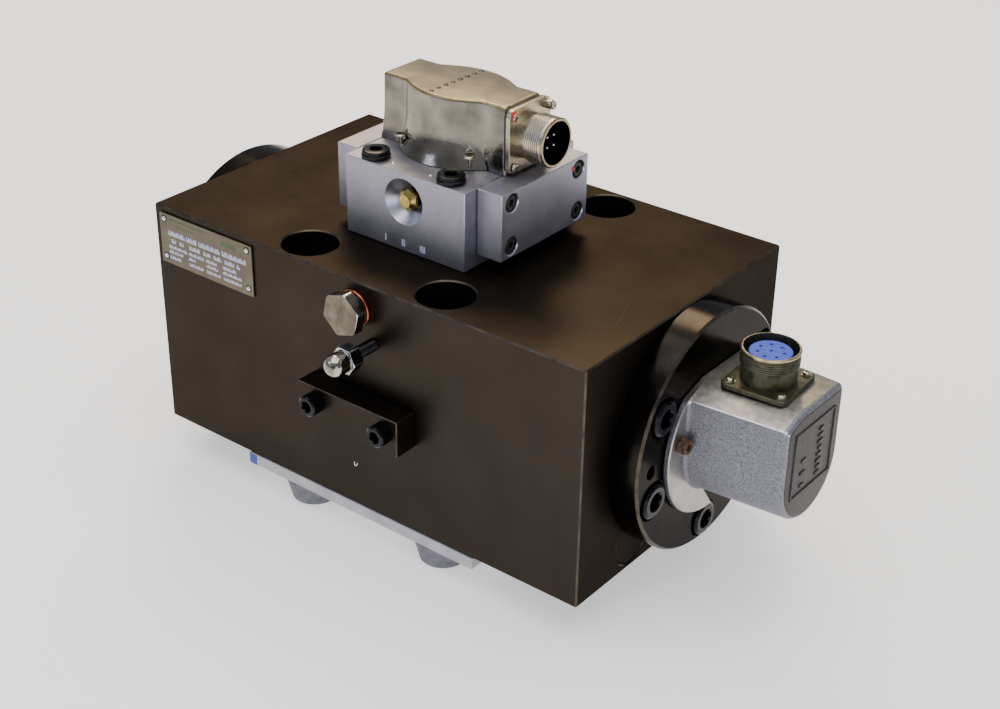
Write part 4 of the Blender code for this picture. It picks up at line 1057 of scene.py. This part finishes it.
def make_valve_caps():
    spacing_y = 0.0238
    screw = socket_screw(0.0068, 0.0030, 0.0030, 0.004, 0.0005, 24)
    for side, axis in (("left", "-x"), ("right", "+x")):
        node = "valve_cap_" + side
        low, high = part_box(node)
        at = outer_end(node, axis)
        face = at.translation.x
        middle = (low + high) / 2
        tools = []
        for y in (middle.y - spacing_y, middle.y + spacing_y):
            for z in (low.z + 0.0055, high.z - 0.0055):
                place = shift(face, y, z) @ TURNS[axis]
                tools.append((sink(CAP_SCREW_SEAT, 0.0035, chamfer=0.0005), place))
                row = "front" if y < middle.y else "rear"
                level = "low" if z < middle.z else "high"
                piece(f"{node}_screw_{row}_{level}", screw, "cast_dark", place @ shift(z=-0.0004))
        mesh = carved(chamfered(low, high, 0.00035), tools)

        def choose(face):
            return "anodised" if square_to_axes(face) else "bare_chamfer"

        paint_faces(mesh, ["anodised", "bare_chamfer"], choose)
        piece(node + "_body", mesh, "anodised", stands_for=[node])
    low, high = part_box("valve_cap_right")
    middle = (low + high) / 2
    drop = red_drop(0.0016, 0.0030)
    at = shift(high.x, middle.y + spacing_y - 0.0042, high.z - 0.0038) @ TURNS["+x"]
    piece("cap_seal_mark", drop, "red_lacquer", at)


def red_drop(wide, tall):
    """A dab of lacquer, thin at its edge."""
    profile = [(1.0, -0.0002), (1.0, 0.0), (0.8, 0.00020), (0.45, 0.00035), (0.1, 0.00040)]
    rings = []
    for scale, z in profile:
        rings.append([Vector((p.x * scale * tall / 2, p.y * scale * wide / 2, z)) for p in ring(1.0, 0, 32)])
    return loft(rings)


def cover_section(z, height, inset=0.0, wall=0.0, pinch=0.0):
    """The motor cover's outline at height z: narrow ends, a wide middle lobe and a flared foot. The
    inside is `wall` smaller, its lobe narrower by `pinch` and without the foot."""
    rise = 1 - z / height
    flare = (1 - min(1.0, max(0.0, z) / 0.016)) ** 2.2
    end = 0.0124 + 0.0003 * rise + 0.0011 * flare - inset - wall
    lobe_foot = 0.0 if pinch else 0.0053 * flare
    centre = 0.0198 + 0.0007 * rise + lobe_foot - inset - wall - pinch
    lobe = 0.0218 + 0.0004 * rise + 0.0040 * flare
    reach = 0.0345 + 0.0005 * rise + 0.0007 * flare - inset - wall
    corner = 0.0014
    steps = 72
    foot = 0.12
    front = []
    for step in range(steps + 1):
        x = reach * math.sin(math.pi * (step / steps - 0.5))
        swell = 0.0
        if abs(x) < lobe:
            dome = math.cos(math.pi * x / (2 * lobe)) ** 0.8
            swell = (1 + foot) * dome * dome / (dome + foot)
        y = end + (centre - end) * swell
        over = abs(x) - (reach - corner)
        if over > 0:
            y -= corner - math.sqrt(max(0.0, corner ** 2 - over ** 2))
        front.append(Vector((x, -y, z)))
    rear = [Vector((point.x, -point.y, z)) for point in reversed(front)]
    return front + rear


def make_motor_cover():
    low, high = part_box("motor_cover")
    at = shift((low.x + high.x) / 2, (low.y + high.y) / 2, low.z)
    places = [(x, y) for x in (-0.0196, 0.0196) for y in (-0.0184, 0.0184)]
    piece("motor_can", motor_can(high.z - low.z, places), "bright_can", at, ["motor_cover"])
    screw = cross_screw(0.0026, 0.0018)
    screws = joined([(screw, shift(x, y, CAN_SCREW_SEAT)) for x, y in places])
    piece("motor_can_screws", screws, "nickel", at)
    lump = rounded_plate(0.0010, 0.0013, 0.0009, -0.0002, CAN_BEAD, 0.0003, 4)
    count = 8
    beads = []
    for number in range(count):
        along = number / (count - 1)
        x, y = -0.0026 + 0.0008 * along, -0.0170 + 0.0335 * along
        beads.append((lump, shift(x, y, high.z - low.z - CAN_BEAD)))
    piece("motor_can_beads", joined(beads), "bright_can", at)


def motor_can(height, places):
    """The cover with a rolled top edge, hollow inside, with a pocket in its foot at each place."""
    top = height - CAN_BEAD
    rounding = 0.0013
    rings = []
    steps = 24
    for step in range(steps + 1):
        rings.append(cover_section((top - rounding) * (step / steps) ** 1.5, height))
    for step in range(1, 7):
        angle = math.pi / 2 * step / 6
        z = top - rounding + rounding * math.sin(angle)
        rings.append(cover_section(z, height, rounding * (1 - math.cos(angle))))
    profile = [(0.0032, CAN_SCREW_SEAT), (0.0032, 0.0120), (0.0027, 0.0146), (0.0017, 0.0164),
               (0.0004, 0.0174)]
    pocket = turned(profile, SMALL_ROUND)
    mesh = carved(loft(rings), [(pocket, shift(x, y)) for x, y in places])
    levels = (-0.01, 0.004, 0.008, 0.016, 0.0288)
    wall, pinch = 0.0012, 0.0045
    inside = loft([cover_section(z, height, 0, wall, pinch) for z in levels])
    mesh = carved(mesh, [(inside, shift())])

    def choose(face):
        if face.center.z > top - rounding and face.normal.z > 0.2:
            return "can_top" if face.normal.z > 0.99 else "golden_edge"
        return "bright_can"

    return paint_faces(mesh, ["bright_can", "can_top", "golden_edge"], choose)


def make_valve_connector():
    shape = {"radius": 0.0111, "reach": 0.0164, "root": 0.0103, "thread_low": 0.0062, "thread_high": 0.0150,
             "pitch": 0.00105, "depth": 0.0006, "wall": 0.0014}
    screws = {"flange": 0.0290, "corner": 0.0036, "spacing": 0.0225, "radius": 0.0019, "height": 0.0013,
              "washer": 0.0}
    # the shell's inside takes the chrome painted dark: painted shade inside the connector
    finishes = ("warm_nickel", "nickel", "worn_gold", "chrome_painted_dark")
    node = "valve_connector_shell"
    at = inner_end(node, "+x")
    receptacle("valve_connector", node, at, shape, finishes, screws)
    gasket = rounded_plate(0.0143, 0.0143, 0.0034, -0.0011, 0.0, 0.0001)
    hole = turned([(0.0090, -0.01), (0.0090, 0.01)], SMALL_ROUND)
    piece("valve_connector_gasket", carved(gasket, [(hole, shift())]), "seal", at)
    insert = turned([(0.0090, 0.0015), (0.0090, 0.0037), (0.0087, 0.0040)])
    piece("pin_insulator", insert, "dark_insert", at, ["valve_connector_insert"])
    pin = turned([(0.0008, 0.0030), (0.0008, 0.0126), (0.0006, 0.0132), (0.0002, 0.0134)], 24)
    places = [(x, y) for x in (-0.00235, 0.00235) for y in (-0.00235, 0.00235)]
    piece("contact_pins", joined([(pin, shift(x, y)) for x, y in places]), "chrome", at)
    half = screws["spacing"] / 2
    stud = turned([(0.0021, 0.0), (0.0021, 0.0030), (0.0018, 0.0033)], SMALL_ROUND)
    top = cross_screw(0.0019, 0.0012)
    stack = joined([(stud, shift()), (top, shift(z=0.0033))])
    piece("valve_connector_stud", stack, "nickel", at @ shift(-half, half, FLANGE_THICKNESS))
    drop = red_drop(0.0040, 0.0045)
    at = at @ shift(-half - 0.0008, -half - 0.0005, FLANGE_THICKNESS)
    piece("connector_seal_mark", drop, "red_lacquer", at)


def make_null_screw():
    at = outer_end("null_screw", "-y")
    low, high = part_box("null_screw")
    length = high.y - low.y
    flats, base, socket = 0.0044, -0.0111, 0.0025
    rings = [ring(0.0024, -length), ring(0.0024, base)]
    rings += hexagon_head(flats, base, 0.0, 0.0, 0.0001)
    rings += [ring(0.0030, 0), ring(socket, -0.0004, sides=6), ring(socket, -0.0056, sides=6)]
    piece("null_nut", loft(rings), "brass", at, ["null_screw"], body="null_adjuster")


# ---- what keeps its CAD mesh --------------------------------------------------------------
def finish_cad_nodes():
    """Gives every CAD node its finish: the seals, the piston, the spool and the torque motor show it."""
    for subpart in frame["record"]["subparts"]:
        node = frame["nodes"][subpart["node"]]
        material = look(subpart["material_slot"])
        for slot in node.material_slots:
            slot.material = material
        if not node.material_slots:
            node.data.materials.append(material)


# ---- stage --------------------------------------------------------------------------------
def make_floor():
    made = bpy.data.materials.new("look_floor")
    made.use_nodes = True
    tree = made.node_tree
    shader = tree.nodes["Principled BSDF"]
    shader.inputs["Roughness"].default_value = 0.9
    shader.inputs["Specular IOR Level"].default_value = 0.1
    tint = graded(tree, noise(tree, 0.4), [(0.3, (0.86, 0.86, 0.86)), (0.7, (0.88, 0.88, 0.88))])
    tree.links.new(tint, shader.inputs["Base Color"])
    tree.links.new(tint, shader.inputs["Emission Color"])
    shader.inputs["Emission Strength"].default_value = 0.75
    size = 8.0
    mesh = bpy.data.meshes.new("floor")
    corners = [(-size, -size, 0), (size, -size, 0), (size, size, 0), (-size, size, 0)]
    mesh.from_pydata(corners, [], [(0, 1, 2, 3)])
    mesh.materials.append(made)
    floor = bpy.data.objects.new("floor", mesh)
    bpy.context.scene.collection.objects.link(floor)


def softbox(name, at, target, size, power, colour):
    light = bpy.data.lights.new(name, "AREA")
    light.shape = "RECTANGLE"
    light.size, light.size_y = size
    light.energy = power
    light.color = colour
    lamp = bpy.data.objects.new(name, light)
    bpy.context.scene.collection.objects.link(lamp)
    lamp.location = at
    lamp.rotation_euler = (Vector(target) - Vector(at)).to_track_quat("-Z", "Y").to_euler()


def make_lights():
    world = bpy.data.worlds.new("studio")
    bpy.context.scene.world = world
    world.use_nodes = True
    background = world.node_tree.nodes["Background"]
    background.inputs["Color"].default_value = (0.82, 0.88, 1.0, 1)
    background.inputs["Strength"].default_value = 0.45
    target = (0, 0, 0.1)
    softbox("overhead", (0.1, -0.2, 1.9), target, (2.2, 2.2), 34, (1.0, 0.98, 0.95))
    softbox("warm_back", (-0.86, 0.96, 1.40), target, (0.8, 0.6), 20, (1.0, 0.78, 0.50))
    softbox("cool_front", (-0.83, -1.20, 1.15), target, (0.5, 0.5), 3, (0.60, 0.70, 1.0))
    softbox("cool_side", (1.2, -0.9, 0.30), target, (0.5, 0.5), 2, (0.62, 0.70, 1.0))


def make_camera():
    azimuth, elevation = CAMERA_AZIMUTH, CAMERA_ELEVATION
    back = Vector((math.sin(azimuth) * math.cos(elevation), -math.cos(azimuth) * math.cos(elevation),
                   math.sin(elevation)))
    level = Vector((0, 0, 1)).cross(back).normalized()
    upright = back.cross(level)
    across = level * math.cos(CAMERA_ROLL) + upright * math.sin(CAMERA_ROLL)
    up = upright * math.cos(CAMERA_ROLL) - level * math.sin(CAMERA_ROLL)
    lens = bpy.data.cameras.new("camera")
    lens.sensor_width = 36
    lens.lens = 62.0
    lens.clip_start = 0.01
    camera = bpy.data.objects.new("camera", lens)
    bpy.context.scene.collection.objects.link(camera)
    camera.matrix_world = Matrix.Translation(CAMERA_AT) @ Matrix((across, up, back)).transposed().to_4x4()
    bpy.context.scene.camera = camera


make_camera()
finish_cad_nodes()
make_block()
make_base()
make_cover_plate()
make_plug_and_nut()
make_nameplate()
make_heads()
make_rod()
make_housing()
make_sensor_connector()
make_valve_body()
make_valve_caps()
make_motor_cover()
make_valve_connector()
make_null_screw()
make_floor()
make_lights()
